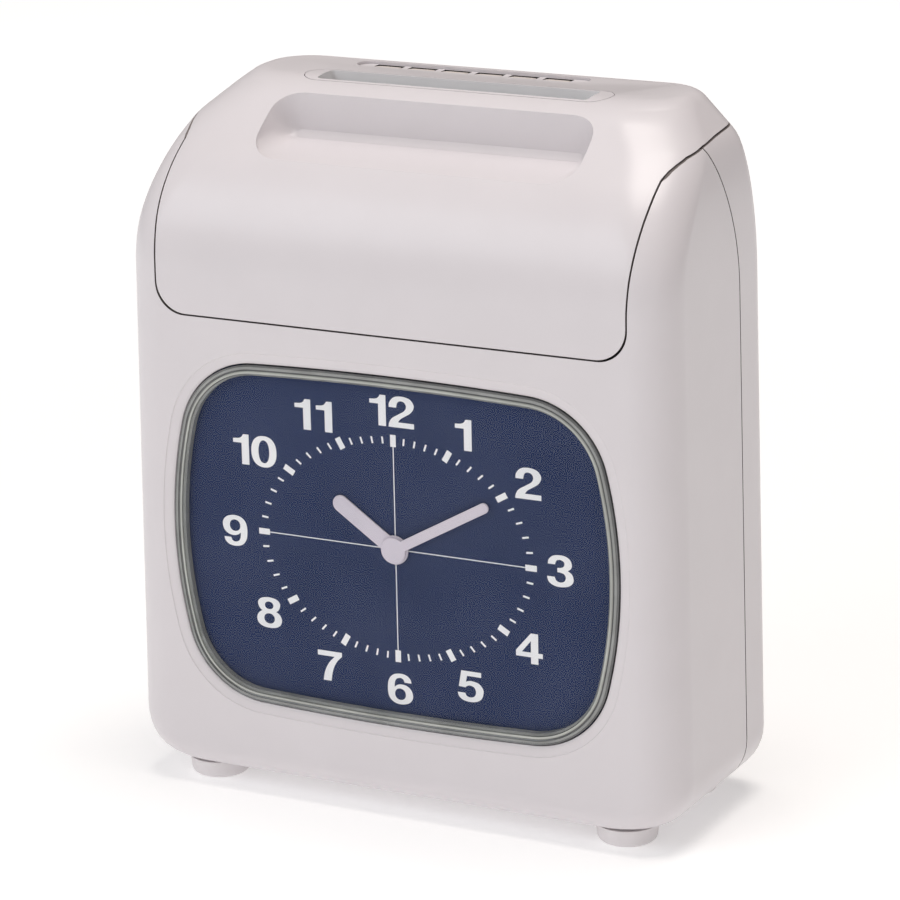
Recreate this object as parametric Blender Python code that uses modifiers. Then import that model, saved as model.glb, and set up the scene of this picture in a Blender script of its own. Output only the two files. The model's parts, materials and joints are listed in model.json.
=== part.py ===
"""Punch time clock: a two-part plastic case, a hinged top cover with a card slot, an analogue dial,
and the print, card and power parts that it holds. Metres, +Z up, -Y is the dial side.
The origin is at the middle of the footprint, on the surface that the feet stand on.
Heights in the code count from DATUM under that surface, and the last step lowers every part by it."""

import math

import bmesh
import bpy
from mathutils import Matrix, Vector

DATUM = 0.0030

# Case, outside
WALL = 0.003
GAP = 0.0003
SEAM = 0.0005
FRONT_Y = -0.0419
REAR_Y = 0.0419
BASE_Z = 0.0095
TOP_Z = 0.2477
BASE_HALF = 0.1048
NECK_HALF = 0.1018
NECK_Z = 0.1850
SHOULDER_WIDTH = 0.0107
SHOULDER_HEIGHT = 0.0516
CROWN_RADIUS = 0.008
BASE_SIDE_RADIUS = 0.018
BASE_FRONT_RADIUS = 0.009
FRONT_CORNER = 0.0152
TOP_CORNER = 0.0210
CORNER_LOW_Z = 0.198
CORNER_HIGH_Z = 0.228
REAR_CORNER = 0.012
BEND_Z = 0.1876
BEND_RADIUS = 0.050
BEND_TURN = math.radians(53)
BROW_RADIUS = 0.030
DIAGONAL = math.sqrt(0.5)

# Seams
CASE_SEAM_Y = 0.0176
CASE_SEAM_BEND_Z = 0.183
CASE_SEAM_RADIUS = 0.120
COVER_HALF = 0.0873
COVER_LOW_Z = 0.1735
COVER_CORNER = 0.011
COVER_SIDE = (
    (0.0, 0.190), (0.0003, 0.199), (0.0007, 0.206), (0.0010, 0.213), (0.0012, 0.221), (0.0012, 0.30)
)
COVER_LEDGE = (
    (-0.0170, 0.2282),
    (-0.0145, 0.2295),
    (-0.0120, 0.2307),
    (-0.0084, 0.2321),
    (-0.0036, 0.2336),
    (0.0062, 0.2354),
    (0.0183, 0.2365),
    (0.0307, 0.2373),
    (0.0419, 0.2379),
    (0.0700, 0.2392),
)
HINGE_Y = 0.0394
HINGE_Z = 0.2386
HINGE_X = 0.070
HINGE_PIN_RADIUS = 0.0012
HINGE_KNUCKLE_RADIUS = 0.0023

# Card path
SLOT_HALF = 0.051
SLOT_Y = (0.0084, 0.0196)
BEZEL_HALF = 0.0575
BEZEL_Y = (0.0072, 0.0208)
BEZEL_LOW_Z = 0.2425
CHUTE_HALF = 0.050
CHUTE_LOW_Z = 0.070
CHUTE_HIGH_Z = 0.2418
CHUTE_FRONT_Y = (0.0087, 0.0103)
CHUTE_REAR_Y = (0.0158, 0.0174)
PRINT_Z = 0.203
KNOB_PLACE = (0.0645, -0.0080)

# Scoop in the cover's slope
SCOOP_HALF = 0.0605
SCOOP_LOW = (-0.0230, 0.2240)
SCOOP_LENGTH = 0.0322
SCOOP_CORNER_DEPTH = 0.0125
SCOOP_CORNER_UP = 0.0195
SCOOP_ROUND = 0.011
SCOOP_LEVELS = (
    (-0.012, 0.0), (0.0, 0.0), (0.0045, 0.0014), (0.008, 0.003), (0.0102, 0.005), (0.0112, 0.007)
)
SCOOP_WALL = 0.002

# Dial
DIAL_Z = 0.0985
LENS_HALF_WIDTH = 0.0840
LENS_HALF_HEIGHT = 0.0613
LENS_Z = DIAL_Z - 0.0007
LENS_CORNER = 0.030
LENS_CORNER_AT = (0.0503, 0.0302)
LENS_FRONT_Y = -0.0416
LENS_THICK = 0.0012
LENS_SKIRT = 0.0020
DIAL_Y = -0.0379
DIAL_THICK = 0.0010
MINUTE_HAND = (0.0410, 0.0036, 0.0046)
MINUTE_ANGLE = 60.8
HOUR_HAND = (0.0274, 0.0060, 0.0051)
HOUR_ANGLE = 304.5
MOVEMENT_HALF = 0.028
MOVEMENT_Y = (-0.0366, -0.0190)
MOVEMENT_WALL = 0.0015
ARBOR_RADIUS = 0.0009
MOTION_OFFSET = 0.0096

# Buttons on the cover
BUTTON_COUNT = 6
BUTTON_PITCH = 0.0129
BUTTON_FIRST_X = -0.0375
BUTTON_SIZE = (0.0098, 0.0058)
BUTTON_Y = 0.0352
PANEL_X = (-0.0486, 0.0392)
PANEL_Y = (0.0309, 0.0390)
PANEL_TOP_Z = 0.2468

# Print mechanism
SIDE_PLATE_X = 0.0880
SIDE_PLATE_THICK = 0.0016
CHASSIS_Z = 0.1680
SHAFT_UPPER = (-0.0060, 0.1870)
SHAFT_LOWER = (-0.0260, 0.1870)
SHAFT_RADIUS = 0.0025
SCREW_AXIS = (-0.0160, 0.1790)
SCREW_RADIUS = 0.0025
GEAR_MODULE = 0.0007
SCREW_TEETH = 18
PINION_TEETH = 9

# Card feed
FEED_AXIS = (0.0056, 0.1400)
FEED_ROLLER_RADIUS = 0.0064
PINCH_AXIS = (0.0195, 0.1400)
PINCH_RADIUS = 0.0062
FEED_TEETH = 18
ROLLER_X = 0.028
ROLLER_WIDTH = 0.012

# Lock, wall fixing and mains inlet
LOCK_Y = -0.012
LOCK_Z = 0.206
LOCK_RADIUS = 0.0058
LOCK_PLUG_RADIUS = 0.0040
KEYHOLE_X = 0.050
KEYHOLE_Z = 0.160
INLET_BOX = ((0.040, 0.0180, 0.024), (0.0675, 0.0412, 0.044))

FOOT_RADIUS = 0.0104
FOOT_PLACES = ((-0.079, -0.0250), (0.079, -0.0250), (-0.079, 0.0250), (0.079, 0.0250))
SCREW_PLACES = ((-0.0885, 0.034), (0.0885, 0.034), (-0.0885, 0.163), (0.0885, 0.163))

PARTS = "punch_time_clock"
CUTTERS = "cutters"


def clear_scene():
    for old in list(bpy.data.objects):
        bpy.data.objects.remove(old, do_unlink=True)
    for name in (PARTS, CUTTERS):
        bpy.context.scene.collection.children.link(bpy.data.collections.new(name))


def material(name, colour, roughness=0.45, metallic=0.0, alpha=1.0):
    made = bpy.data.materials.new(name)
    made.use_nodes = True
    shader = made.node_tree.nodes["Principled BSDF"]
    shader.inputs["Base Color"].default_value = (*colour, 1.0)
    shader.inputs["Roughness"].default_value = roughness
    shader.inputs["Metallic"].default_value = metallic
    shader.inputs["Alpha"].default_value = alpha
    return made


def make_object(name, mesh, look=None):
    """A part when it has a material, and otherwise a cutter."""
    thing = bpy.data.objects.new(name, mesh)
    if look:
        mesh.materials.clear()
        mesh.materials.append(look)
        bpy.data.collections[PARTS].objects.link(thing)
    else:
        thing.hide_render = True
        thing.display_type = "WIRE"
        bpy.data.collections[CUTTERS].objects.link(thing)
    return thing


def mesh_from(bm, name, smooth=True):
    mesh = bpy.data.meshes.new(name)
    bmesh.ops.recalc_face_normals(bm, faces=bm.faces)
    if bm.calc_volume(signed=True) < 0:
        bmesh.ops.reverse_faces(bm, faces=bm.faces)
    bm.to_mesh(mesh)
    bm.free()
    if smooth:
        mesh.shade_smooth()
        mesh.set_sharp_from_angle(angle=math.radians(30))
    return mesh


def block(name, low, high, look=None, bevel=0.0):
    """A box from its lowest to its highest corner, with its origin at its centre."""
    size = Vector(high) - Vector(low)
    bm = bmesh.new()
    bmesh.ops.create_cube(bm, size=1.0, matrix=Matrix.Diagonal((*size, 1.0)))
    thing = make_object(name, mesh_from(bm, name, smooth=False), look)
    thing.location = (Vector(low) + Vector(high)) / 2
    if bevel:
        rounding = thing.modifiers.new("rounding", "BEVEL")
        rounding.width = bevel
        rounding.segments = 2
    return thing


AXIS_TURNS = {
    "X": Matrix.Rotation(math.radians(90), 4, "Y"),
    "Y": Matrix.Rotation(math.radians(-90), 4, "X"),
    "Z": Matrix.Identity(4),
}


def rod(name, start, axis, radius, length, look=None, segments=24, tip=None):
    """A cylinder, or a cone to radius tip, from start along +axis, with its origin at start."""
    bm = bmesh.new()
    bmesh.ops.create_cone(
        bm,
        cap_ends=True,
        segments=segments,
        radius1=radius,
        radius2=radius if tip is None else tip,
        depth=length,
        matrix=AXIS_TURNS[axis] @ Matrix.Translation((0, 0, length / 2)),
    )
    thing = make_object(name, mesh_from(bm, name), look)
    thing.location = start
    return thing


PLANE_TURNS = {
    "XY": (0.0, 0.0, 0.0),
    "XZ": (math.radians(90), 0.0, 0.0),
    "YZ": (math.radians(90), 0.0, math.radians(90)),
}


def plate(name, loops, plane, across, look=None, origin=(0.0, 0.0)):
    """A flat outline, the first loop, with holes, the others, filled and made thick.
    across is where it starts and ends along the plane's normal, and origin is its origin in the plane."""
    curve = bpy.data.curves.new(name, "CURVE")
    curve.dimensions = "2D"
    curve.fill_mode = "BOTH"
    curve.extrude = abs(across[1] - across[0]) / 2
    for loop in loops:
        spline = curve.splines.new("POLY")
        spline.points.add(len(loop) - 1)
        for point, (u, v) in zip(spline.points, loop):
            point.co = (u - origin[0], v - origin[1], 0, 1)
        spline.use_cyclic_u = True
    guide = bpy.data.objects.new(name + "_outline", curve)
    bpy.context.scene.collection.objects.link(guide)
    graph = bpy.context.evaluated_depsgraph_get()
    mesh = bpy.data.meshes.new_from_object(guide.evaluated_get(graph))
    bpy.data.objects.remove(guide)
    bm = bmesh.new()
    bm.from_mesh(mesh)
    bmesh.ops.remove_doubles(bm, verts=bm.verts, dist=1e-6)
    bm.to_mesh(mesh)
    bm.free()
    mesh.name = name
    mesh.shade_smooth()
    mesh.set_sharp_from_angle(angle=math.radians(30))
    thing = make_object(name, mesh, look)
    middle = (across[0] + across[1]) / 2
    thing.rotation_euler = PLANE_TURNS[plane]
    thing.location = {
        "XY": (origin[0], origin[1], middle),
        "XZ": (origin[0], middle, origin[1]),
        "YZ": (middle, origin[0], origin[1]),
    }[plane]
    return thing


def boolean(thing, other, operation):
    step = thing.modifiers.new(operation.lower(), "BOOLEAN")
    step.operation = operation
    step.object = other


def cut(thing, *others):
    for other in others:
        boolean(thing, other, "DIFFERENCE")


def join(thing, *others):
    for other in others:
        boolean(thing, other, "UNION")


def keep(thing, other):
    boolean(thing, other, "INTERSECT")


def rectangle(u, v):
    return [(u[0], v[0]), (u[1], v[0]), (u[1], v[1]), (u[0], v[1])]


def circle(centre, radius, steps=20):
    turns = [2 * math.pi * i / steps for i in range(steps)]
    return [(centre[0] + radius * math.cos(t), centre[1] + radius * math.sin(t)) for t in turns]


def rounded(u, v, radius, steps=6):
    """A rectangle with round corners, each corner an arc of that many steps."""
    corners = ((u[1], v[1], 0), (u[0], v[1], 1), (u[0], v[0], 2), (u[1], v[0], 3))
    loop = []
    for cu, cv, quarter in corners:
        centre_u = cu - math.copysign(radius, cu - (u[0] + u[1]) / 2)
        centre_v = cv - math.copysign(radius, cv - (v[0] + v[1]) / 2)
        for i in range(steps + 1):
            turn = math.pi / 2 * (quarter + i / steps)
            loop.append((centre_u + radius * math.cos(turn), centre_v + radius * math.sin(turn)))
    return loop


def gear(centre, teeth, module=GEAR_MODULE, turn=0.0):
    """A spur gear's outline with straight-flanked teeth and running backlash."""
    pitch = teeth * module / 2
    root, tip = pitch - 1.25 * module, pitch + 0.75 * module
    loop = []
    for i in range(teeth):
        for radius, share in ((root, -0.30), (tip, -0.11), (tip, 0.11), (root, 0.30)):
            angle = turn + 2 * math.pi * (i + share) / teeth
            loop.append((centre[0] + radius * math.cos(angle), centre[1] + radius * math.sin(angle)))
    return loop


# The case's outer shape: a stack of level sections, each a rectangle with round corners


def half_width(z):
    """The case's half width at a height: a draft, a shoulder, a 45 degree slope and a small crown."""
    if z <= NECK_Z:
        share = (z - BASE_Z) / (NECK_Z - BASE_Z)
        return BASE_HALF + (NECK_HALF - BASE_HALF) * share
    slope_turn = math.atan(SHOULDER_HEIGHT / SHOULDER_WIDTH)
    slope_z = NECK_Z + SHOULDER_HEIGHT * math.sin(slope_turn)
    slope_x = NECK_HALF - SHOULDER_WIDTH * (1 - math.cos(slope_turn))
    if z <= slope_z:
        rise = (z - NECK_Z) / SHOULDER_HEIGHT
        return NECK_HALF - SHOULDER_WIDTH * (1 - math.sqrt(1 - rise * rise))
    crown_z = TOP_Z - CROWN_RADIUS * (1 - DIAGONAL)
    if z <= crown_z:
        return slope_x - (z - slope_z)
    centre_x = slope_x - (crown_z - slope_z) - CROWN_RADIUS * DIAGONAL
    drop = z - (TOP_Z - CROWN_RADIUS)
    return centre_x + math.sqrt(max(CROWN_RADIUS**2 - drop**2, 0))


def front_y(z):
    """The front face's place at a height: upright, a long bend, a straight slope and a round brow."""
    if z <= BEND_Z:
        return FRONT_Y
    slope_z = BEND_Z + BEND_RADIUS * math.sin(BEND_TURN)
    if z <= slope_z:
        return FRONT_Y + BEND_RADIUS - math.sqrt(BEND_RADIUS**2 - (z - BEND_Z) ** 2)
    slope_y = FRONT_Y + BEND_RADIUS * (1 - math.cos(BEND_TURN))
    brow_z = TOP_Z - BROW_RADIUS * (1 - math.sin(BEND_TURN))
    if z <= brow_z:
        return slope_y + (z - slope_z) * math.tan(BEND_TURN)
    centre_y = slope_y + (brow_z - slope_z) * math.tan(BEND_TURN) + BROW_RADIUS * math.cos(BEND_TURN)
    drop = z - (TOP_Z - BROW_RADIUS)
    return centre_y - math.sqrt(max(BROW_RADIUS**2 - drop**2, 0))


def front_corner(z):
    """The radius of the upright front edges at a height."""
    share = min(max((z - CORNER_LOW_Z) / (CORNER_HIGH_Z - CORNER_LOW_Z), 0), 1)
    return FRONT_CORNER + (TOP_CORNER - FRONT_CORNER) * share * share * (3 - 2 * share)


def section(half, front, rear, front_radius, rear_radius, z):
    """One level section, from the middle of the front round by +X."""
    front_radius = min(front_radius, 0.8 * (rear - rear_radius - front))
    loop = []
    for i in range(7):
        turn = math.pi / 2 * i / 6
        loop.append(
            (half - front_radius * (1 - math.sin(turn)), front + front_radius * (1 - math.cos(turn)))
        )
    for i in range(5):
        turn = math.pi / 2 * i / 4
        loop.append((half - rear_radius * (1 - math.cos(turn)), rear - rear_radius * (1 - math.sin(turn))))
    mirrored = [(-x, y) for x, y in reversed(loop)]
    return [(x, y, z) for x, y in loop + mirrored]


def case_sections(inset):
    """The sections of the case, or of its hollow when inset is the wall's thickness."""
    sections = []
    for i in range(5):
        turn = math.pi / 2 * i / 5
        side = BASE_SIDE_RADIUS * (1 - math.sin(turn))
        rise = BASE_SIDE_RADIUS * (1 - math.cos(turn))
        depth = max(BASE_FRONT_RADIUS - rise, 0)
        front = BASE_FRONT_RADIUS - math.sqrt(BASE_FRONT_RADIUS**2 - depth**2)
        sections.append((BASE_Z + rise, side, front))
    heights = [BASE_Z + BASE_SIDE_RADIUS, 0.110]
    heights += [BEND_Z + BEND_RADIUS * math.sin(BEND_TURN * i / 7) for i in range(8)]
    heights += [0.2315, 0.2350, 0.2385, 0.2417, 0.2441, 0.2461, 0.2472, TOP_Z]
    sections += [(z, 0.0, 0.0) for z in heights]
    loops = []
    for z, side, front in sections:
        level = (z - BASE_Z) / (TOP_Z - BASE_Z)
        loops.append(
            section(
                half_width(z) - side - inset,
                front_y(z) + front + inset,
                REAR_Y - front - inset,
                front_corner(z) - inset,
                REAR_CORNER - inset,
                z + inset * (1 - 2 * level),
            )
        )
    return loops


def loft(name, loops, look=None):
    """A closed solid through sections that all have the same number of points."""
    bm = bmesh.new()
    rings = [[bm.verts.new(point) for point in loop] for loop in loops]
    for lower, upper in zip(rings, rings[1:]):
        for i in range(len(lower)):
            j = (i + 1) % len(lower)
            bm.faces.new((lower[i], lower[j], upper[j], upper[i]))
    bm.faces.new(list(reversed(rings[0])))
    bm.faces.new(rings[-1])
    return make_object(name, mesh_from(bm, name), look)


def cover_zone(name, spread):
    """The space of the top cover: the panel between the front seams, and all above the side seams."""
    half = COVER_HALF + spread
    foot = rounded((-half, half), (COVER_LOW_Z - spread, 0.40), COVER_CORNER, 6)
    low = [point for point in foot if point[1] < COVER_SIDE[0][1]]
    right = [(half + out, z) for out, z in COVER_SIDE]
    left = [(-half - out, z) for out, z in reversed(COVER_SIDE)]
    panel = plate(name, [left + low + right], "XZ", (-0.06, 0.0))
    ledge = [(y, z - spread) for y, z in COVER_LEDGE]
    ledge[0] = (ledge[0][0] - spread, ledge[0][1])
    seam = [(ledge[0][0], 0.31), *ledge, (ledge[-1][0], 0.31)]
    join(panel, plate(name + "_upper", [seam], "YZ", (-0.13, 0.13)))
    return panel


def rear_zone(name, spread):
    """The space of the rear case: behind a seam that leans forward near the top."""
    seam = [(CASE_SEAM_Y - spread, -0.05), (CASE_SEAM_Y - spread, CASE_SEAM_BEND_Z)]
    for i in range(1, 8):
        rise = 0.0095 * i
        lean = CASE_SEAM_RADIUS - math.sqrt(CASE_SEAM_RADIUS**2 - rise**2)
        seam.append((CASE_SEAM_Y - lean - spread, CASE_SEAM_BEND_Z + rise))
    seam += [(0.10, seam[-1][1]), (0.10, -0.05)]
    return plate(name, [seam], "YZ", (-0.13, 0.13))


def bow_radius(apex, along, across):
    """The radius of a bowed side through apex that meets the lens's corner arc without a kink."""
    back = along - apex
    return (LENS_CORNER**2 - across**2 - back**2) / (2 * (back + LENS_CORNER))


def lens_outline(spread, steps=8):
    """The lens's outline, grown by spread: four bowed sides and four round corners."""
    across, up = LENS_CORNER_AT
    side = bow_radius(LENS_HALF_WIDTH, across, up)
    top = bow_radius(LENS_HALF_HEIGHT, up, across)
    start = math.atan2(up, across - LENS_HALF_WIDTH + side)
    end = math.pi / 2 - math.atan2(across, up - LENS_HALF_HEIGHT + top)
    arcs = (
        (LENS_HALF_WIDTH - side, 0.0, side, 0.0, start, steps // 2),
        (across, up, LENS_CORNER, start, end, steps),
        (0.0, LENS_HALF_HEIGHT - top, top, end, math.pi / 2, steps // 2),
    )
    quarter = [(LENS_HALF_WIDTH + spread, 0.0)]
    for centre_u, centre_v, radius, first, last, count in arcs:
        for i in range(1, count + 1):
            turn = first + (last - first) * i / count
            reach = radius + spread
            quarter.append((centre_u + reach * math.cos(turn), centre_v + reach * math.sin(turn)))
    loop = quarter + [(-u, v) for u, v in reversed(quarter[:-1])]
    loop += [(-u, -v) for u, v in quarter[1:]] + [(u, -v) for u, v in reversed(quarter[1:-1])]
    return [(u, LENS_Z + v) for u, v in loop]


def build_front_case(look):
    case = loft("front_case", case_sections(0.0), look)
    cut(case, loft("front_hollow", case_sections(WALL)))
    cut(case, rear_zone("front_case_end", SEAM), cover_zone("front_case_mouth", SEAM))
    for x, z in SCREW_PLACES:
        post = rod("screw_post", (x, FRONT_Y + WALL / 2, z), "Y", 0.0040, 0.0782, segments=16)
        cut(post, rod("screw_post_hole", (x, 0.010, z), "Y", 0.0018, 0.05, segments=12))
        join(case, post)
    cut(case, plate("dial_opening", [lens_outline(0.0004)], "XZ", (-0.06, -0.030)))
    cut(case, rod("lock_hole", (-0.12, LOCK_Y, LOCK_Z), "X", LOCK_RADIUS + GAP, 0.03, segments=20))
    for x, y in FOOT_PLACES[:2]:
        cut(case, rod("foot_hole", (x, y, BASE_Z - 0.005), "Z", 0.0023, 0.012, segments=12))
    return case


def build_rear_case(look):
    case = loft("rear_case", case_sections(0.0), look)
    cut(case, loft("rear_hollow", case_sections(WALL)))
    keep(case, rear_zone("rear_case_reach", 0.0))
    cut(case, cover_zone("rear_case_mouth", SEAM))
    cut(case, block("hinge_relief", (-0.086, 0.0365, HINGE_Z - 0.0030), (0.086, 0.05, 0.26)))
    for side in (-1, 1):
        x = side * (HINGE_X + 0.006)
        loop = [(0.0370, 0.2270), (0.0412, 0.2270)]
        for i in range(9):
            turn = math.pi * i / 8
            y = HINGE_Y + HINGE_KNUCKLE_RADIUS * math.cos(turn)
            loop.append((y, HINGE_Z + HINGE_KNUCKLE_RADIUS * math.sin(turn)))
        bore = circle((HINGE_Y, HINGE_Z), HINGE_PIN_RADIUS + GAP, 16)
        ear = plate("hinge_ear", [loop, bore], "YZ", (x - 0.0022, x + 0.0022))
        join(case, ear)
    for x, z in SCREW_PLACES:
        cut(case, rod("screw_hole", (x, 0.03, z), "Y", 0.0019, 0.03, segments=12))
        cut(case, rod("counterbore", (x, 0.0402, z), "Y", 0.0036, 0.03, segments=16))
    for x, y in FOOT_PLACES[2:]:
        cut(case, rod("foot_hole", (x, y, BASE_Z - 0.005), "Z", 0.0023, 0.012, segments=12))
    for side in (-1, 1):
        x = side * KEYHOLE_X
        cut(case, rod("keyhole_head", (x, 0.03, KEYHOLE_Z), "Y", 0.0045, 0.03, segments=16))
        cut(
            case,
            block("keyhole_neck", (x - 0.0022, 0.03, KEYHOLE_Z), (x + 0.0022, 0.06, KEYHOLE_Z + 0.009)),
        )
    low, high = INLET_BOX
    cut(case, block("inlet_hole", (low[0] - GAP, 0.03, low[2] - GAP), (high[0] + GAP, 0.06, high[2] + GAP)))
    for i in range(7):
        x = -0.030 + 0.010 * i
        cut(
            case,
            plate(
                "vent", [rounded((x - 0.0015, x + 0.0015), (0.196, 0.218), 0.0014, 3)], "XZ", (0.03, 0.06)
            ),
        )
    return case


def scoop_shape(name, spread):
    """The recess for the fingers: its back wall is upright and its floor tips forward a little."""
    loops = []
    for depth, shrink in SCOOP_LEVELS:
        low = SCOOP_CORNER_UP * max(depth, 0) / SCOOP_CORNER_DEPTH - spread
        high = SCOOP_LENGTH - depth + spread
        half = SCOOP_HALF + spread - shrink
        radius = min(SCOOP_ROUND, 0.45 * (high - low))
        inward = depth + spread if depth > 0 else depth
        loop = []
        for u, v in rounded((-half, half), (low, high), radius, 5):
            loop.append((u, SCOOP_LOW[0] + (v + inward) * DIAGONAL, SCOOP_LOW[1] + (v - inward) * DIAGONAL))
        loops.append(loop)
    return loft(name, loops)


def build_top_cover(look):
    cover = loft("top_cover", case_sections(0.0), look)
    cut(cover, loft("cover_hollow", case_sections(WALL)))
    keep(cover, cover_zone("cover_reach", 0.0))
    dish = scoop_shape("scoop_wall", SCOOP_WALL)
    keep(dish, loft("scoop_wall_limit", case_sections(WALL / 2)))
    join(cover, dish)
    cut(cover, scoop_shape("scoop", 0.0))
    cut(cover, plate("bezel_hole", [bezel_outline(GAP)], "XY", (0.235, 0.26)))
    cut(cover, plate("panel_hole", [panel_outline(GAP)], "XY", (0.235, 0.26)))
    for side in (-1, 1):
        x = side * (HINGE_X - 0.001)
        knuckle = rod(
            "hinge_lug", (x - 0.004, HINGE_Y, HINGE_Z), "X", HINGE_KNUCKLE_RADIUS, 0.008, segments=16
        )
        join(cover, knuckle)
        cut(
            cover,
            rod(
                "hinge_lug_bore",
                (x - 0.02, HINGE_Y, HINGE_Z),
                "X",
                HINGE_PIN_RADIUS + GAP,
                0.04,
                segments=16,
            ),
        )
        ear_x = side * (HINGE_X + 0.006)
        cut(
            cover,
            block("hinge_notch", (ear_x - 0.0026, 0.0345, 0.23), (ear_x + 0.0026, 0.05, HINGE_Z + 0.0030)),
        )
    return cover


def bezel_outline(spread, steps=6):
    low, high = BEZEL_Y[0] - spread, BEZEL_Y[1] + spread
    return rounded((-BEZEL_HALF - spread, BEZEL_HALF + spread), (low, high), (high - low) / 2 - 1e-5, steps)


def panel_outline(spread, steps=6):
    low, high = PANEL_Y[0] - spread, PANEL_Y[1] + spread
    return rounded((PANEL_X[0] - spread, PANEL_X[1] + spread), (low, high), (high - low) / 2 - 1e-5, steps)


def build_card_slot_bezel(look):
    slot = rounded((-SLOT_HALF, SLOT_HALF), SLOT_Y, 0.0015, 3)
    bezel = plate("card_slot_bezel", [bezel_outline(0.0), slot], "XY", (BEZEL_LOW_Z, 0.2600), look)
    keep(bezel, loft("bezel_limit", case_sections(0.0)))


def build_buttons(look, panel_look, board_look):
    holes = []
    for i in range(BUTTON_COUNT):
        x = BUTTON_FIRST_X + BUTTON_PITCH * i
        wide, deep = BUTTON_SIZE
        button = block(
            f"button_{i + 1}",
            (x - wide / 2, BUTTON_Y - deep / 2, 0.2420),
            (x + wide / 2, BUTTON_Y + deep / 2, PANEL_TOP_Z + 0.0002),
            look,
            bevel=0.0004,
        )
        flange_low = (x - wide / 2 - 0.0008, BUTTON_Y - deep / 2 - 0.0008, 0.2422)
        join(
            button,
            block(
                "button_flange", flange_low, (x + wide / 2 + 0.0008, BUTTON_Y + deep / 2 + 0.0008, 0.2432)
            ),
        )
        half_x, half_y = wide / 2 + GAP, deep / 2 + GAP
        holes.append(rectangle((x - half_x, x + half_x), (BUTTON_Y - half_y, BUTTON_Y + half_y)))
    plate("button_panel", [panel_outline(0.0), *holes], "XY", (0.2440, PANEL_TOP_Z), panel_look)
    plate(
        "button_board", [rectangle((-0.050, 0.041), (0.0245, 0.0362))], "XY", (0.2385, 0.2401), board_look
    )


def build_dial(looks):
    lens = plate("dial_lens", [lens_outline(0.0)], "XZ", (LENS_FRONT_Y, DIAL_Y - GAP), looks["acrylic"])
    cut(lens, plate("lens_hollow", [lens_outline(-LENS_SKIRT)], "XZ", (LENS_FRONT_Y + LENS_THICK, -0.03)))
    spread = 0.0025
    hub = circle((0, DIAL_Z), 0.0032)
    plate("dial_plate", [lens_outline(spread), hub], "XZ", (DIAL_Y, DIAL_Y + DIAL_THICK), looks["navy"])
    build_hand(
        "minute_hand", MINUTE_HAND, MINUTE_ANGLE, (-0.0399, -0.0392), looks["hand"], ARBOR_RADIUS - 0.0001
    )
    build_hand("hour_hand", HOUR_HAND, HOUR_ANGLE, (-0.0389, -0.0383), looks["hand"], ARBOR_RADIUS + 0.0008)


def build_hand(name, size, degrees, across, look, bore):
    """A bar with round ends and a round hub, its origin on the dial's axis."""
    length, width, hub = size
    angle = math.radians(degrees)
    ahead = Vector((math.sin(angle), math.cos(angle)))
    left = Vector((-ahead.y, ahead.x))
    centre = Vector((0, DIAL_Z))
    reach = length - width / 2
    loop = []
    for i in range(9):
        turn = math.pi / 2 - math.pi * i / 8
        loop.append(
            centre + ahead * (reach + width / 2 * math.cos(turn)) + left * width / 2 * math.sin(turn)
        )
    start = math.asin(width / 2 / hub)
    for i in range(17):
        turn = start + (2 * math.pi - 2 * start) * i / 16
        loop.append(centre + ahead * hub * math.cos(turn) - left * hub * math.sin(turn))
    hole = circle((0, DIAL_Z), bore + 0.0001)
    plate(name, [[tuple(p) for p in loop], hole], "XZ", across, look, origin=(0, DIAL_Z))


def build_movement(looks):
    low, high = MOVEMENT_Y
    half = MOVEMENT_HALF
    z = DIAL_Z
    shell = block(
        "movement_housing", (-half, low, z - half), (half, high, z + half), looks["black"], bevel=0.0012
    )
    inner = half - MOVEMENT_WALL
    room = block("movement_room", (-inner, low + MOVEMENT_WALL, z - inner), (inner, high + 0.01, z + inner))
    cut(shell, room, rod("movement_bore", (0, low - 0.005, z), "Y", 0.0028, 0.01, segments=16))
    lid = inner - GAP
    plate(
        "movement_back",
        [rounded((-lid, lid), (z - lid, z + lid), 0.002, 3), circle((0, z), ARBOR_RADIUS + 0.0002, 12)],
        "XZ",
        (high - 0.0016, high),
        looks["grey"],
    )
    arbor = rod(
        "minute_arbor", (0, -0.0398, z), "Y", ARBOR_RADIUS - 0.0001, 0.0206, looks["steel"], segments=16
    )
    cannon = plate("cannon_pinion", [gear((0, z), 8, 0.0006)], "XZ", (-0.0275, -0.0240), origin=(0, z))
    join(arbor, cannon)
    tube = rod(
        "hour_wheel", (0, -0.0387, z), "Y", ARBOR_RADIUS + 0.0008, 0.0076, looks["brass"], segments=16
    )
    hour_gear = plate("hour_gear", [gear((0, z), 32, 0.00048)], "XZ", (-0.0326, -0.0312), origin=(0, z))
    join(tube, hour_gear)
    cut(tube, rod("hour_bore", (0, -0.045, z), "Y", ARBOR_RADIUS + 0.0001, 0.02, segments=16))
    axis = (0, z - MOTION_OFFSET)
    turn_fast = math.pi / 2 + math.pi / 24
    wheel = plate(
        "motion_wheel",
        [gear(axis, 24, 0.0006, turn_fast)],
        "XZ",
        (-0.0272, -0.0258),
        looks["brass"],
        origin=axis,
    )
    turn_slow = math.pi / 2 + math.pi / 8
    join(
        wheel,
        plate("motion_pinion", [gear(axis, 8, 0.00048, turn_slow)], "XZ", (-0.0328, -0.0268), origin=axis),
    )
    join(wheel, rod("motion_pivot", (axis[0], -0.0333, axis[1]), "Y", 0.0007, 0.0125, segments=12))


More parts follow.
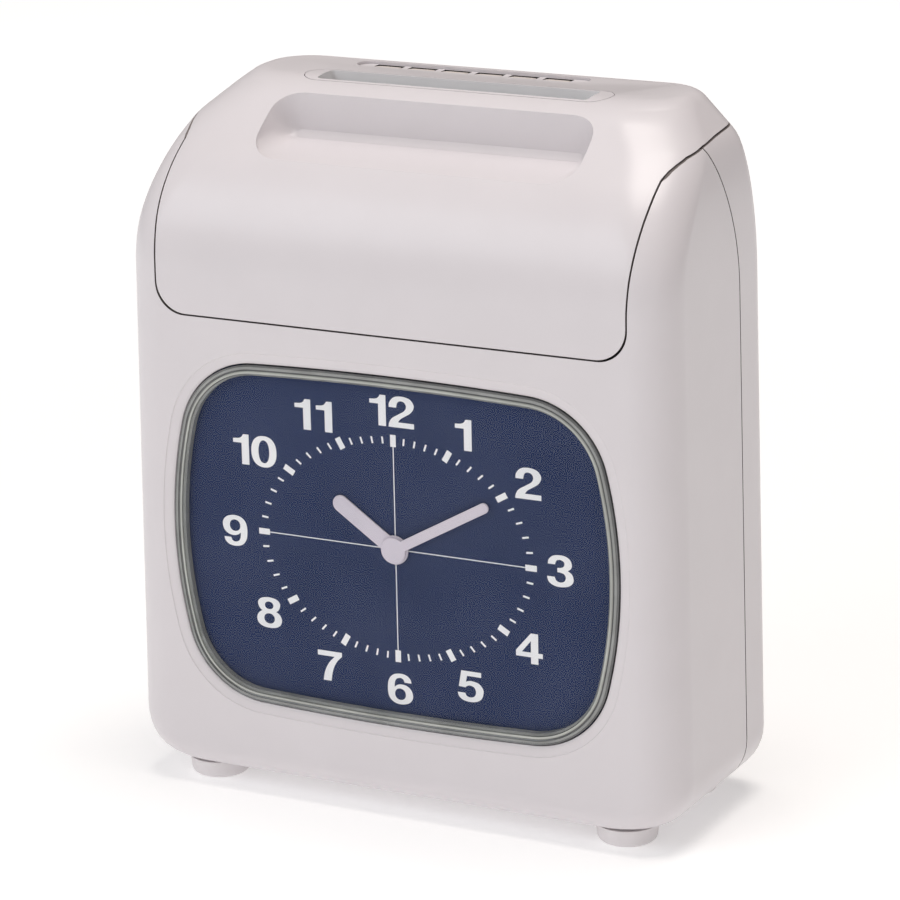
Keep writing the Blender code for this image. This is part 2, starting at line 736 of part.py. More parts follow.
def chute_loops():
    """The outline of a chute plate, its print window and its two openings for the roller tyres."""
    reach = SIDE_PLATE_X - GAP
    steps = (
        (CHUTE_HALF, CHUTE_LOW_Z), (CHUTE_HALF, 0.171), (reach, 0.172), (reach, 0.194), (CHUTE_HALF, 0.195)
    )
    right = [*steps, (CHUTE_HALF, CHUTE_HIGH_Z)]
    outline = right + [(-x, z) for x, z in reversed(right)]
    window = rectangle((-0.042, 0.042), (PRINT_Z - 0.008, PRINT_Z + 0.008))
    low, high = FEED_AXIS[1] - 0.0085, FEED_AXIS[1] + 0.0085
    tyre_slots = [rectangle((x - 0.0075, x + 0.0075), (low, high)) for x in (-ROLLER_X, ROLLER_X)]
    return [outline, window, *tyre_slots]


def roller(name, axis, core, tyre, half, look):
    """A shaft along X with two tyres."""
    y, z = axis
    shaft = rod(name, (-half, y, z), "X", core, 2 * half, look, segments=16)
    for x in (-ROLLER_X, ROLLER_X):
        join(shaft, rod(name + "_tyre", (x - ROLLER_WIDTH / 2, y, z), "X", tyre, ROLLER_WIDTH))
    return shaft


def bearing_lugs(holder, axis, radius, x, edge):
    """Two lugs that stand off a chute plate, from edge, and carry a roller's shaft."""
    y, z = axis
    away = math.copysign(0.0034 + radius, y - edge)
    for side in (-1, 1):
        outline = rectangle(sorted((edge, y + away)), (z - 0.0045, z + 0.0045))
        across = (side * x - 0.0009, side * x + 0.0009)
        lug = plate("bearing_lug", [outline, circle(axis, radius + GAP, 16)], "YZ", across)
        join(holder, lug)


def build_card_path(looks):
    front = plate("chute_front", chute_loops(), "XZ", CHUTE_FRONT_Y, looks["steel"])
    rear = plate("chute_rear", chute_loops(), "XZ", CHUTE_REAR_Y, looks["steel"])
    low, high = CHUTE_LOW_Z + 0.0008, CHUTE_HIGH_Z - 0.0005
    rails = [(-0.0492, high), (-0.0492, low), (0.0492, low), (0.0492, high)]
    rails += [(0.0465, high), (0.0465, low + 0.003), (-0.0465, low + 0.003), (-0.0465, high)]
    frame = plate("card_stop", [rails], "XZ", (CHUTE_FRONT_Y[1] + GAP, CHUTE_REAR_Y[0] + 0.0005))
    join(rear, frame)
    bearing_lugs(front, FEED_AXIS, 0.0020, 0.0430, CHUTE_FRONT_Y[0] + 0.0005)
    bearing_lugs(rear, PINCH_AXIS, 0.0015, 0.0390, CHUTE_REAR_Y[1] - 0.0005)
    platen_low = (-0.041, CHUTE_REAR_Y[0] + GAP, PRINT_Z - 0.007)
    block("platen_bar", platen_low, (0.041, 0.0215, PRINT_Z + 0.007), looks["rubber"], bevel=0.0008)
    shaft = roller("feed_roller", FEED_AXIS, 0.0020, FEED_ROLLER_RADIUS, 0.0560, looks["rubber"])
    gear_x = (0.0520, 0.0545)
    join(shaft, plate("feed_gear", [gear(FEED_AXIS, FEED_TEETH)], "YZ", gear_x, origin=FEED_AXIS))
    roller("pinch_roller", PINCH_AXIS, 0.0015, PINCH_RADIUS, 0.0420, looks["rubber"])
    axis = (FEED_AXIS[0] - (FEED_TEETH + PINION_TEETH) * GEAR_MODULE / 2, FEED_AXIS[1])
    outline = gear(axis, PINION_TEETH, turn=math.pi / PINION_TEETH)
    pinion = plate(
        "feed_pinion",
        [outline],
        "YZ",
        (gear_x[0] + 0.0002, gear_x[1] - 0.0002),
        looks["brass"],
        origin=axis,
    )
    join(pinion, rod("feed_motor_shaft", (0.0400, *axis), "X", 0.0010, 0.0130, segments=12))
    motor = rod(
        "feed_motor", (0.0120, axis[0] - 0.0030, axis[1] - 0.0130), "X", 0.0090, 0.0270, looks["steel"]
    )
    gearbox = block(
        "feed_gearbox", (0.0200, axis[0] - 0.0050, 0.1200), (0.0395, CHUTE_FRONT_Y[0] - GAP, 0.1300)
    )
    join(
        motor,
        gearbox,
        block("feed_gear_tower", (0.0360, axis[0] - 0.0040, 0.1250), (0.0394, axis[0] + 0.0040, 0.1440)),
    )


def build_print_mechanism(looks):
    front, rear = -0.0345, 0.0045
    low_z, high_z = CHASSIS_Z, 0.2205
    chassis = rectangle((-SIDE_PLATE_X + GAP, SIDE_PLATE_X - GAP), (front + GAP, rear))
    plate("chassis_floor", [chassis], "XY", (CHASSIS_Z, CHASSIS_Z + 0.0016), looks["steel"])
    holes = [
        circle(SHAFT_UPPER, SHAFT_RADIUS + GAP, 16),
        circle(SHAFT_LOWER, SHAFT_RADIUS + GAP, 16),
        circle(SCREW_AXIS, SCREW_RADIUS + GAP, 16),
    ]
    side = [
        (front, low_z), (0.030, low_z), (0.030, 0.200), (0.004, high_z), (-0.0155, high_z), (front, 0.198)
    ]
    plates = {
        "side_plate_left": (-SIDE_PLATE_X - SIDE_PLATE_THICK, -SIDE_PLATE_X),
        "side_plate_right": (SIDE_PLATE_X, SIDE_PLATE_X + SIDE_PLATE_THICK),
    }
    for name, across in plates.items():
        plate(name, [side, *holes], "YZ", across, looks["steel"])
    reach = SIDE_PLATE_X + SIDE_PLATE_THICK + 0.0008
    rod(
        "guide_shaft_rear",
        (-reach, *SHAFT_UPPER),
        "X",
        SHAFT_RADIUS,
        2 * reach,
        looks["chrome"],
        segments=16,
    )
    rod(
        "guide_shaft_front",
        (-reach, *SHAFT_LOWER),
        "X",
        SHAFT_RADIUS,
        2 * reach,
        looks["chrome"],
        segments=16,
    )
    screw = rod(
        "lead_screw", (-reach, *SCREW_AXIS), "X", SCREW_RADIUS, 2 * reach, looks["chrome"], segments=16
    )
    gear_x = (0.0790, 0.0820)
    join(screw, plate("screw_gear", [gear(SCREW_AXIS, SCREW_TEETH)], "YZ", gear_x, origin=SCREW_AXIS))
    axis = (SCREW_AXIS[0] - (SCREW_TEETH + PINION_TEETH) * GEAR_MODULE / 2, SCREW_AXIS[1])
    turn = math.pi / PINION_TEETH
    pinion = plate(
        "carriage_pinion",
        [gear(axis, PINION_TEETH, turn=turn)],
        "YZ",
        (0.0792, 0.0818),
        looks["brass"],
        origin=axis,
    )
    join(pinion, rod("carriage_motor_shaft", (0.0755, *axis), "X", 0.0009, 0.006, segments=12))
    motor = rod("carriage_motor", (0.0530, *axis), "X", 0.0050, 0.0215, looks["steel"])
    foot_low = (0.0540, axis[0] - 0.0045, CHASSIS_Z + 0.0016 + GAP)
    join(motor, block("carriage_motor_foot", foot_low, (0.0735, axis[0] + 0.0045, axis[1] - 0.0020)))
    carriage = block(
        "head_carriage", (-0.015, -0.0315, 0.1750), (0.015, -0.0010, 0.1915), looks["black"], bevel=0.001
    )
    for name, centre, radius in (
        ("carriage_bore_rear", SHAFT_UPPER, SHAFT_RADIUS + GAP),
        ("carriage_bore_front", SHAFT_LOWER, SHAFT_RADIUS + GAP),
        ("carriage_nut", SCREW_AXIS, SCREW_RADIUS + GAP),
    ):
        cut(carriage, rod(name, (-0.05, *centre), "X", radius, 0.1, segments=16))
    head = block(
        "print_head", (-0.011, -0.0240, 0.1918), (0.011, -0.0040, 0.2110), looks["aluminium"], bevel=0.0008
    )
    join(
        head,
        block("print_head_nose", (-0.005, -0.0050, PRINT_Z - 0.0045), (0.005, 0.0045, PRINT_Z + 0.0045)),
    )
    for i in range(4):
        z = 0.1945 + 0.0042 * i
        cut(head, block("head_fin", (-0.02, -0.030, z), (0.02, -0.0200, z + 0.0016)))
    ribbon = block(
        "ribbon_cartridge", (-0.070, -0.0180, 0.2125), (0.070, 0.0020, 0.2190), looks["black"], bevel=0.0012
    )
    for side_x in (-0.0695, 0.0605):
        join(ribbon, block("ribbon_arm", (side_x, -0.0090, 0.1945), (side_x + 0.0090, 0.0070, 0.2185)))
    block(
        "ink_ribbon", (-0.0602, 0.0055, PRINT_Z - 0.0055), (0.0602, 0.0060, PRINT_Z + 0.0055), looks["ink"]
    )
    knob = rod("ribbon_knob", (*KNOB_PLACE, 0.2192), "Z", 0.0055, 0.0040, looks["grey"])
    for i in range(8):
        angle = 2 * math.pi * i / 8
        groove = (
            KNOB_PLACE[0] + 0.0062 * math.cos(angle), KNOB_PLACE[1] + 0.0062 * math.sin(angle), 0.2180
        )
        cut(knob, rod("knob_groove", groove, "Z", 0.0013, 0.01, segments=8))


def build_power(looks):
    board = rectangle((-0.080, -0.002), (0.042, 0.148))
    holes = [circle((x, z), 0.0016, 10) for x in (-0.0751, -0.007) for z in (0.047, 0.1432)]
    plate("main_board", [board, *holes], "XZ", (0.0300, 0.0316), looks["board"])
    core = block(
        "transformer", (0.0300, -0.0120, 0.0130), (0.0840, 0.0150, 0.0530), looks["steel"], bevel=0.0008
    )
    coil = block("transformer_coil", (0.0400, -0.0165, 0.0190), (0.0740, 0.0165, 0.0470), bevel=0.003)
    join(core, coil)
    pack = rod("backup_battery", (-0.0700, 0.0000, 0.0200), "X", 0.0070, 0.0500, looks["yellow"])
    join(pack, rod("battery_second", (-0.0700, 0.0125, 0.0200), "X", 0.0070, 0.0500))
    low, high = INLET_BOX
    inlet = block("ac_inlet", low, high, looks["black"], bevel=0.0008)
    cut(
        inlet,
        block(
            "inlet_mouth", (low[0] + 0.003, 0.026, low[2] + 0.003), (high[0] - 0.003, 0.06, high[2] - 0.003)
        ),
    )
    middle = (low[0] + high[0]) / 2
    for dx, dz in ((-0.006, 0.0080), (0.0, 0.0125), (0.006, 0.0080)):
        pin_low = (middle + dx - 0.001, 0.0250, low[2] + dz - 0.002)
        join(inlet, block("inlet_pin", pin_low, (middle + dx + 0.001, 0.0380, low[2] + dz + 0.002)))


def build_lock(looks):
    x = -0.1012
    barrel = rod("lock_barrel", (x, LOCK_Y, LOCK_Z), "X", LOCK_RADIUS, 0.0090, looks["chrome"])
    cut(barrel, rod("lock_barrel_bore", (x - 0.01, LOCK_Y, LOCK_Z), "X", LOCK_PLUG_RADIUS + 0.0001, 0.03))
    plug = rod("lock_plug", (x, LOCK_Y, LOCK_Z), "X", LOCK_PLUG_RADIUS, 0.0098, looks["brass"])
    cut(
        plug,
        block(
            "key_way",
            (x - 0.005, LOCK_Y - 0.0005, LOCK_Z - 0.0025),
            (x + 0.006, LOCK_Y + 0.0005, LOCK_Z + 0.0025),
        ),
    )
    cam = [(LOCK_Y - 0.0045, LOCK_Z - 0.0045), (LOCK_Y + 0.0045, LOCK_Z - 0.0045)]
    cam += [(LOCK_Y + 0.0045, LOCK_Z + 0.0060), (LOCK_Y - 0.0045, LOCK_Z + 0.0060)]
    join(plug, plate("lock_cam", [cam], "YZ", (x + 0.0094, x + 0.0108)))


def build_feet_and_fasteners(looks):
    names = ("foot_front_left", "foot_front_right", "foot_rear_left", "foot_rear_right")
    for name, (x, y) in zip(names, FOOT_PLACES):
        profile = [(0.0, DATUM), (FOOT_RADIUS - 0.0016, DATUM), (FOOT_RADIUS, DATUM + 0.0016)]
        profile.append((FOOT_RADIUS + 0.0004, BASE_Z - GAP))
        stem = [(0.0020, BASE_Z - GAP), (0.0020, BASE_Z + WALL + 0.0008), (0.0, BASE_Z + WALL + 0.0008)]
        turned(name, profile + stem, (x, y, 0), looks["foot"])
    for i, (x, z) in enumerate(SCREW_PLACES):
        screw = rod(f"case_screw_{i + 1}", (x, 0.0150, z), "Y", 0.0015, 0.0266, looks["steel"], segments=12)
        join(screw, rod("screw_head", (x, 0.0405, z), "Y", 0.0032, 0.0012, segments=16))
        cut(screw, block("screw_slot", (x - 0.01, 0.0411, z - 0.0004), (x + 0.01, 0.05, z + 0.0004)))
    for side, name in ((-1, "hinge_pin_left"), (1, "hinge_pin_right")):
        start = side * HINGE_X - (0.0095 if side < 0 else 0.0060)
        rod(name, (start, HINGE_Y, HINGE_Z), "X", HINGE_PIN_RADIUS, 0.0155, looks["chrome"], segments=16)


def turned(name, profile, place, look, steps=24):
    """A solid of revolution about Z from (radius, height) points, from the axis and back to it."""
    bm = bmesh.new()
    points = [bm.verts.new((radius, 0, height)) for radius, height in reversed(profile)]
    for first, second in zip(points, points[1:]):
        bm.edges.new((first, second))
    mesh = bpy.data.meshes.new(name)
    bm.to_mesh(mesh)
    bm.free()
    thing = make_object(name, mesh, look)
    thing.location = place
    spin = thing.modifiers.new("turning", "SCREW")
    spin.axis = "Z"
    spin.steps = steps
    spin.render_steps = steps
    spin.use_merge_vertices = True
    spin.merge_threshold = 0.00001
    return thing


def main():
    clear_scene()
    looks = {
        "case": material("case_plastic", (0.70, 0.66, 0.66), 0.35),
        "button": material("button_plastic", (0.72, 0.67, 0.63), 0.4),
        "acrylic": material("clear_acrylic", (0.80, 0.86, 0.82), 0.05, alpha=0.3),
        "navy": material("navy_dial", (0.038, 0.052, 0.13), 0.4),
        "hand": material("hand_paint", (0.62, 0.60, 0.76), 0.4),
        "black": material("black_plastic", (0.02, 0.02, 0.022), 0.5),
        "grey": material("grey_plastic", (0.35, 0.35, 0.36), 0.5),
        "steel": material("plated_steel", (0.55, 0.56, 0.58), 0.35, 1.0),
        "chrome": material("bright_steel", (0.75, 0.75, 0.77), 0.15, 1.0),
        "brass": material("brass", (0.70, 0.52, 0.22), 0.3, 1.0),
        "aluminium": material("cast_aluminium", (0.60, 0.61, 0.63), 0.4, 1.0),
        "rubber": material("black_rubber", (0.03, 0.03, 0.03), 0.8),
        "ink": material("ink_ribbon", (0.05, 0.01, 0.09), 0.9),
        "board": material("circuit_board", (0.04, 0.20, 0.09), 0.5),
        "yellow": material("battery_sleeve", (0.60, 0.50, 0.10), 0.5),
        "foot": material("foot_rubber", (0.62, 0.60, 0.60), 0.6),
    }
    build_front_case(looks["case"])
    build_rear_case(looks["case"])
    build_top_cover(looks["case"])
    build_card_slot_bezel(looks["case"])
    build_buttons(looks["button"], looks["case"], looks["board"])
    build_dial(looks)
    build_movement(looks)
    build_card_path(looks)
    build_print_mechanism(looks)
    build_power(looks)
    build_lock(looks)
    build_feet_and_fasteners(looks)
    for thing in bpy.data.objects:
        thing.location.z -= DATUM


main()
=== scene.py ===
"""Punch time clock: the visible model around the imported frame, in metres, +Z up, -Y is the dial side.
Heights in the code count from DATUM under the surface that the feet stand on."""

import json
import math

import bmesh
import bpy
from mathutils import Matrix, Vector
from mathutils.bvhtree import BVHTree

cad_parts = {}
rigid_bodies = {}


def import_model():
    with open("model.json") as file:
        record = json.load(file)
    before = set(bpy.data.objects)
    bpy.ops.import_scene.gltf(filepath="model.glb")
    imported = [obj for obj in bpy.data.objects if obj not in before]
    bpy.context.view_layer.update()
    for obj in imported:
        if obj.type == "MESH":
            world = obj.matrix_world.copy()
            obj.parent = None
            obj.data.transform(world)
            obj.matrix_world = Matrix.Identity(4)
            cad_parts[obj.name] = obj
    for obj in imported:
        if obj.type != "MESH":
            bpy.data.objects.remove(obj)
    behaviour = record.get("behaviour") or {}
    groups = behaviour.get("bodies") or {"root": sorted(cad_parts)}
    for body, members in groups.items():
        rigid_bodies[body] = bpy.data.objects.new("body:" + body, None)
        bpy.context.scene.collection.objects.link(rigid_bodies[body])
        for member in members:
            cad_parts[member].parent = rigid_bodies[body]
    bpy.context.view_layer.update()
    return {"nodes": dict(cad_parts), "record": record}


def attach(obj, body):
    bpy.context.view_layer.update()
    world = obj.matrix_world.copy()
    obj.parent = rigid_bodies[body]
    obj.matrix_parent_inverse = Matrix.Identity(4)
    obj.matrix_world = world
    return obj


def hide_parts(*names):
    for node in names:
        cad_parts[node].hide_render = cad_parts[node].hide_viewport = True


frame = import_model()

DATUM = 0.0030

# Case, outside
WALL = 0.003
GAP = 0.0003
SEAM = 0.0006
FRONT_Y = -0.0419
REAR_Y = 0.0419
BASE_Z = 0.0095
TOP_Z = 0.2477
BASE_HALF = 0.1048
NECK_HALF = 0.1018
NECK_Z = 0.1850
SHOULDER_WIDTH = 0.0107
SHOULDER_HEIGHT = 0.0516
CROWN_RADIUS = 0.008
BASE_SIDE_RADIUS = 0.018
BASE_FRONT_RADIUS = 0.009
FRONT_CORNER = 0.0152
TOP_CORNER = 0.0210
CORNER_LOW_Z = 0.198
CORNER_HIGH_Z = 0.228
REAR_CORNER = 0.012
BEND_Z = 0.1876
BEND_RADIUS = 0.050
BEND_TURN = math.radians(53)
BROW_RADIUS = 0.030
DIAGONAL = math.sqrt(0.5)

# Seams and hinge
CASE_SEAM_Y = 0.0176
CASE_SEAM_BEND_Z = 0.183
CASE_SEAM_RADIUS = 0.120
COVER_HALF = 0.0873
COVER_LOW_Z = 0.1735
COVER_CORNER = 0.011
COVER_SIDE = (
    (0.0, 0.190), (0.0003, 0.199), (0.0007, 0.206), (0.0010, 0.213), (0.0012, 0.221), (0.0012, 0.30)
)
COVER_LEDGE = (
    (-0.0170, 0.2282), (-0.0145, 0.2295), (-0.0120, 0.2307), (-0.0084, 0.2321), (-0.0036, 0.2336),
    (0.0062, 0.2354), (0.0183, 0.2365), (0.0307, 0.2373), (0.0419, 0.2379), (0.0700, 0.2392),
)
SEAM_FACE_REACH = 0.00003
HINGE_Y = 0.0394
HINGE_Z = 0.2386
HINGE_X = 0.070
HINGE_PIN_RADIUS = 0.0012
HINGE_KNUCKLE_RADIUS = 0.0023
HINGE_EAR_X = HINGE_X + 0.006
HINGE_EAR_HALF = 0.0022
HINGE_EAR_FOOT = ((0.0370, 0.2270), (0.0412, 0.2270))
HINGE_RELIEF = ((-0.086, 0.0365, HINGE_Z - 0.0030), (0.086, 0.05, 0.26))
HINGE_NOTCH_Y = (0.0345, 0.05)
HINGE_NOTCH_Z = (0.23, HINGE_Z + 0.0030)
HINGE_LUG_X = HINGE_X - 0.001
HINGE_LUG_LENGTH = 0.008

# Card slot, scoop, buttons
SLOT_HALF = 0.051
SLOT_Y = (0.0084, 0.0196)
BEZEL_HALF = 0.0575
BEZEL_Y = (0.0072, 0.0208)
BEZEL_LOW_Z = 0.2425
SCOOP_HALF = 0.0605
SCOOP_LOW = (-0.0230, 0.2240)
SCOOP_LENGTH = 0.0322
SCOOP_CORNER_DEPTH = 0.0125
SCOOP_CORNER_UP = 0.0195
SCOOP_ROUND = 0.011
SCOOP_LEVELS = (
    (-0.012, 0.0), (0.0, 0.0), (0.0045, 0.0014), (0.008, 0.003), (0.0102, 0.005), (0.0112, 0.007)
)
SCOOP_WALL = 0.002
PANEL_X = (-0.0486, 0.0392)
PANEL_Y = (0.0309, 0.0390)
PANEL_TOP_Z = 0.2468
BUTTON_COUNT = 6
BUTTON_PITCH = 0.0129
BUTTON_FIRST_X = -0.0375
BUTTON_SIZE = (0.0098, 0.0058)
BUTTON_Y = 0.0352
KEY_GAP = 0.0005
KEY_RISE = 0.0005
KEY_DROP = 0.0008
KEY_SLOPE_Z = 0.2450
KEY_LOW_Z = 0.2420
KEY_ROUND = 0.0005
PANEL_LOW_Z = 0.2440

# Dial
DIAL_Z = 0.0985
LENS_HALF_WIDTH = 0.0840
LENS_HALF_HEIGHT = 0.0613
LENS_Z = DIAL_Z - 0.0007
LENS_CORNER = 0.030
LENS_CORNER_AT = (0.0503, 0.0302)
LENS_FRONT_Y = -0.0416
DIAL_Y = -0.0379
MINUTE_HAND = (0.0410, 0.0036, 0.0046)
MINUTE_ANGLE = 60.8
HOUR_HAND = (0.0274, 0.0060, 0.0051)
HOUR_ANGLE = 304.5
TRACK = (0.0506, 0.0380)
HOUR_TICK = (0.0021, 0.00105)
MINUTE_TICK = (0.0012, 0.00033)
HAIRLINE_HALF = 0.00016

# Lock, wall fixing, inlet, fasteners
LOCK_Y = -0.012
LOCK_Z = 0.206
LOCK_RADIUS = 0.0058
KEYHOLE_X = 0.050
KEYHOLE_Z = 0.160
INLET_BOX = ((0.040, 0.0180, 0.024), (0.0675, 0.0412, 0.044))
FOOT_PLACES = ((-0.079, -0.0250), (0.079, -0.0250), (-0.079, 0.0250), (0.079, 0.0250))
SCREW_PLACES = ((-0.0885, 0.034), (0.0885, 0.034), (-0.0885, 0.163), (0.0885, 0.163))

SCREW_POST_RADIUS = 0.0040
SCREW_POST_LENGTH = 0.0782
SCREW_POST_BORE = 0.0018
SCREW_HOLE_RADIUS = 0.0019
COUNTERBORE_RADIUS = 0.0036
COUNTERBORE_Y = 0.0402
FOOT_HOLE_RADIUS = 0.0023
KEYHOLE_HEAD_RADIUS = 0.0045
KEYHOLE_NECK_HALF = 0.0022
KEYHOLE_RISE = 0.009
VENT_COUNT = 7
VENT_FIRST_X = -0.030
VENT_PITCH = 0.010
VENT_HALF = 0.0015
VENT_Z = (0.196, 0.218)
VENT_ROUND = 0.0014

# Camera, in metres, degrees and pixels of a 900 pixel frame
CAMERA_AT = (0.6052, -1.1648, 0.5091)
CAMERA_TURN = 27.389
CAMERA_TILT = 16.513
CAMERA_ROLL = -1.196
CAMERA_LENS = 160.0
SENSOR = 36.0

# Light: the room's dark and bright level, the floor's own glow near and far and where it changes,
# and each lamp's place, size, power and colour
ROOM_BRIGHT_SIDE = (-0.45, -0.85, 0.25)
ROOM_LEVELS = (0.04, 0.52)
ROOM_COLOUR = (1.0, 0.97, 0.955, 1)
FLOOR_GLOW = (0.30, 0.60)
GLOW_REACH = (0.3, 1.3)
LAMPS = {
    "key": ((-0.72, -1.25, 1.12), (1.2, 0.9), 6.6, (0.89, 0.95, 1.0)),
    "side": ((1.2, -0.9, 0.45), (0.05, 0.2), 0.5, (1.0, 0.98, 0.99)),
    "top": ((0.15, 0.08, 1.55), (0.8, 0.8), 13.0, (1.0, 0.945, 0.90)),
}


# Materials


def new_material(name):
    made = bpy.data.materials.new(name)
    made.use_nodes = True
    nodes = made.node_tree.nodes
    return made, nodes, made.node_tree.links, nodes["Principled BSDF"]


def ramp(nodes, low, high, start=0.3, end=0.7):
    made = nodes.new("ShaderNodeValToRGB")
    made.color_ramp.elements[0].position = start
    made.color_ramp.elements[0].color = low
    made.color_ramp.elements[1].position = end
    made.color_ramp.elements[1].color = high
    return made


def noise(nodes, links, scale, detail=3.0):
    place = nodes.new("ShaderNodeTexCoord")
    made = nodes.new("ShaderNodeTexNoise")
    made.inputs["Scale"].default_value = scale
    made.inputs["Detail"].default_value = detail
    links.new(place.outputs["Object"], made.inputs["Vector"])
    return made


def surface(
    name,
    colour,
    roughness=0.4,
    metallic=0.0,
    vary=0.04,
    patch_scale=45.0,
    grain_scale=2600.0,
    bump=0.05,
    bump_depth=0.00002,
    rough_vary=0.08,
    coat=0.0,
    specular=0.5,
):
    """A solid finish: slow patches of tone, uneven gloss and a fine moulded or cast grain."""
    made, nodes, links, shader = new_material(name)
    patches = noise(nodes, links, patch_scale)
    dark = tuple(c * (1 - vary) for c in colour) + (1.0,)
    light = tuple(min(c * (1 + vary), 1.0) for c in colour) + (1.0,)
    tone = ramp(nodes, dark, light)
    links.new(patches.outputs["Fac"], tone.inputs["Fac"])
    links.new(tone.outputs["Color"], shader.inputs["Base Color"])
    gloss_noise = noise(nodes, links, patch_scale * 2.7, 5.0)
    gloss = nodes.new("ShaderNodeMapRange")
    gloss.inputs["To Min"].default_value = max(roughness - rough_vary / 2, 0.01)
    gloss.inputs["To Max"].default_value = min(roughness + rough_vary / 2, 1.0)
    links.new(gloss_noise.outputs["Fac"], gloss.inputs["Value"])
    links.new(gloss.outputs["Result"], shader.inputs["Roughness"])
    grain = noise(nodes, links, grain_scale, 2.0)
    relief = nodes.new("ShaderNodeBump")
    relief.inputs["Strength"].default_value = bump
    relief.inputs["Distance"].default_value = bump_depth
    links.new(grain.outputs["Fac"], relief.inputs["Height"])
    links.new(relief.outputs["Normal"], shader.inputs["Normal"])
    shader.inputs["Metallic"].default_value = metallic
    shader.inputs["Coat Weight"].default_value = coat
    shader.inputs["Coat Roughness"].default_value = 0.2
    shader.inputs["Specular IOR Level"].default_value = specular
    return made


def clear_plastic(name):
    """A thin clear sheet: it lets light straight through and mirrors a little."""
    made, nodes, links, shader = new_material(name)
    nodes.remove(shader)
    out = nodes["Material Output"]
    through = nodes.new("ShaderNodeBsdfTransparent")
    mirror = nodes.new("ShaderNodeBsdfGlossy")
    mirror.inputs["Roughness"].default_value = 0.04
    smudge = noise(nodes, links, 30.0)
    weight = nodes.new("ShaderNodeMapRange")
    weight.inputs["To Min"].default_value = 0.006
    weight.inputs["To Max"].default_value = 0.014
    links.new(smudge.outputs["Fac"], weight.inputs["Value"])
    tint = ramp(nodes, (0.955, 0.965, 0.965, 1), (0.985, 0.99, 0.985, 1))
    links.new(smudge.outputs["Fac"], tint.inputs["Fac"])
    links.new(tint.outputs["Color"], through.inputs["Color"])
    mix = nodes.new("ShaderNodeMixShader")
    links.new(weight.outputs["Result"], mix.inputs["Fac"])
    links.new(through.outputs["BSDF"], mix.inputs[1])
    links.new(mirror.outputs["BSDF"], mix.inputs[2])
    links.new(mix.outputs["Shader"], out.inputs["Surface"])
    return made


LOOKS = {
    "case_plastic": surface("case_plastic_look", (0.70, 0.66, 0.68), 0.38, vary=0.012, coat=0.25),
    "button_plastic": surface("button_plastic_look", (0.73, 0.665, 0.62), 0.42, vary=0.015),
    "navy_dial": surface(
        "navy_dial_look", (0.022, 0.036, 0.104), 0.6, vary=0.05, patch_scale=14.0, bump=0.0, specular=0.12
    ),
    "dial_print": surface("dial_print_look", (0.93, 0.91, 0.94), 0.5, vary=0.02, bump=0.0),
    "hand_paint": surface("hand_paint_look", (0.68, 0.61, 0.70), 0.4, vary=0.02),
    "black_plastic": surface(
        "black_plastic_look", (0.022, 0.022, 0.024), 0.5, bump=0.3, grain_scale=1500.0
    ),
    "grey_plastic": surface("grey_plastic_look", (0.33, 0.33, 0.34), 0.5, bump=0.2, grain_scale=1500.0),
    "plated_steel": surface("plated_steel_look", (0.56, 0.57, 0.58), 0.34, 1.0, vary=0.1, rough_vary=0.2),
    "bright_steel": surface("bright_steel_look", (0.72, 0.72, 0.74), 0.16, 1.0, vary=0.04, rough_vary=0.1),
    "brass": surface("brass_look", (0.72, 0.53, 0.24), 0.28, 1.0, vary=0.08, rough_vary=0.15),
    "cast_aluminium": surface(
        "cast_aluminium_look", (0.60, 0.61, 0.63), 0.42, 1.0, bump=0.4, grain_scale=900.0
    ),
    "black_rubber": surface("black_rubber_look", (0.03, 0.03, 0.03), 0.8, bump=0.3, grain_scale=1800.0),
    "ink_ribbon": surface("ink_ribbon_look", (0.045, 0.012, 0.09), 0.9, bump=0.5, grain_scale=4000.0),
    "circuit_board": surface(
        "circuit_board_look", (0.035, 0.19, 0.085), 0.42, vary=0.25, patch_scale=160.0
    ),
    "battery_sleeve": surface("battery_sleeve_look", (0.60, 0.50, 0.10), 0.4, vary=0.06),
    "foot_rubber": surface("foot_rubber_look", (0.78, 0.74, 0.75), 0.55, bump=0.2, grain_scale=1400.0),
    # Painted shade: near black for the walls of the gaps round the keys, where shade falls.
    "painted_gap_shade": surface("dark_gap_look", (0.030, 0.022, 0.020), 0.8),
    "seam_shade": surface("seam_shade_look", (0.16, 0.135, 0.13), 0.8),
    # Painted light: a near white for the slot's walls, brighter than the bezel's own plastic, standing for
    # the light that falls into the slot.
    "slot_painted_light": surface("slot_wall_look", (0.96, 0.94, 0.95), 0.3, coat=0.3),
    # Painted light and shade: opaque bands for the clear lens rim. They are greenish grey like acrylic's
    # edge, and lighter or darker where a clear skirt would show refraction, reflection and shade.
    "rim_painted_lit_band": surface("rim_light_look", (0.42, 0.43, 0.40), 0.12, vary=0.15, patch_scale=60.0, coat=0.6),
    "rim_painted_half_shade": surface("rim_mid_look", (0.25, 0.255, 0.25), 0.14, vary=0.2, patch_scale=80.0, coat=0.6),
    "rim_painted_shadow": surface("rim_dark_look", (0.15, 0.153, 0.155), 0.16, vary=0.2, patch_scale=80.0, coat=0.6),
    "clear_acrylic": clear_plastic("clear_acrylic_look"),
}


# Mesh helpers


def add(name, mesh, body, look, replaced=()):
    """A visible piece that rides on a body."""
    mesh.transform(Matrix.Translation((0, 0, -DATUM)))
    piece = bpy.data.objects.new(name, mesh)
    bpy.context.scene.collection.objects.link(piece)
    mesh.materials.clear()
    mesh.materials.append(LOOKS[look])
    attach(piece, body)
    if replaced:
        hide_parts(*replaced)
    return piece


def temporary(name, mesh):
    thing = bpy.data.objects.new(name, mesh)
    bpy.context.scene.collection.objects.link(thing)
    return thing


def settle(thing):
    """The object's finished mesh in world space, with the object removed."""
    bpy.context.view_layer.update()
    graph = bpy.context.evaluated_depsgraph_get()
    mesh = bpy.data.meshes.new_from_object(thing.evaluated_get(graph))
    mesh.transform(thing.matrix_world)
    bpy.data.objects.remove(thing)
    return mesh


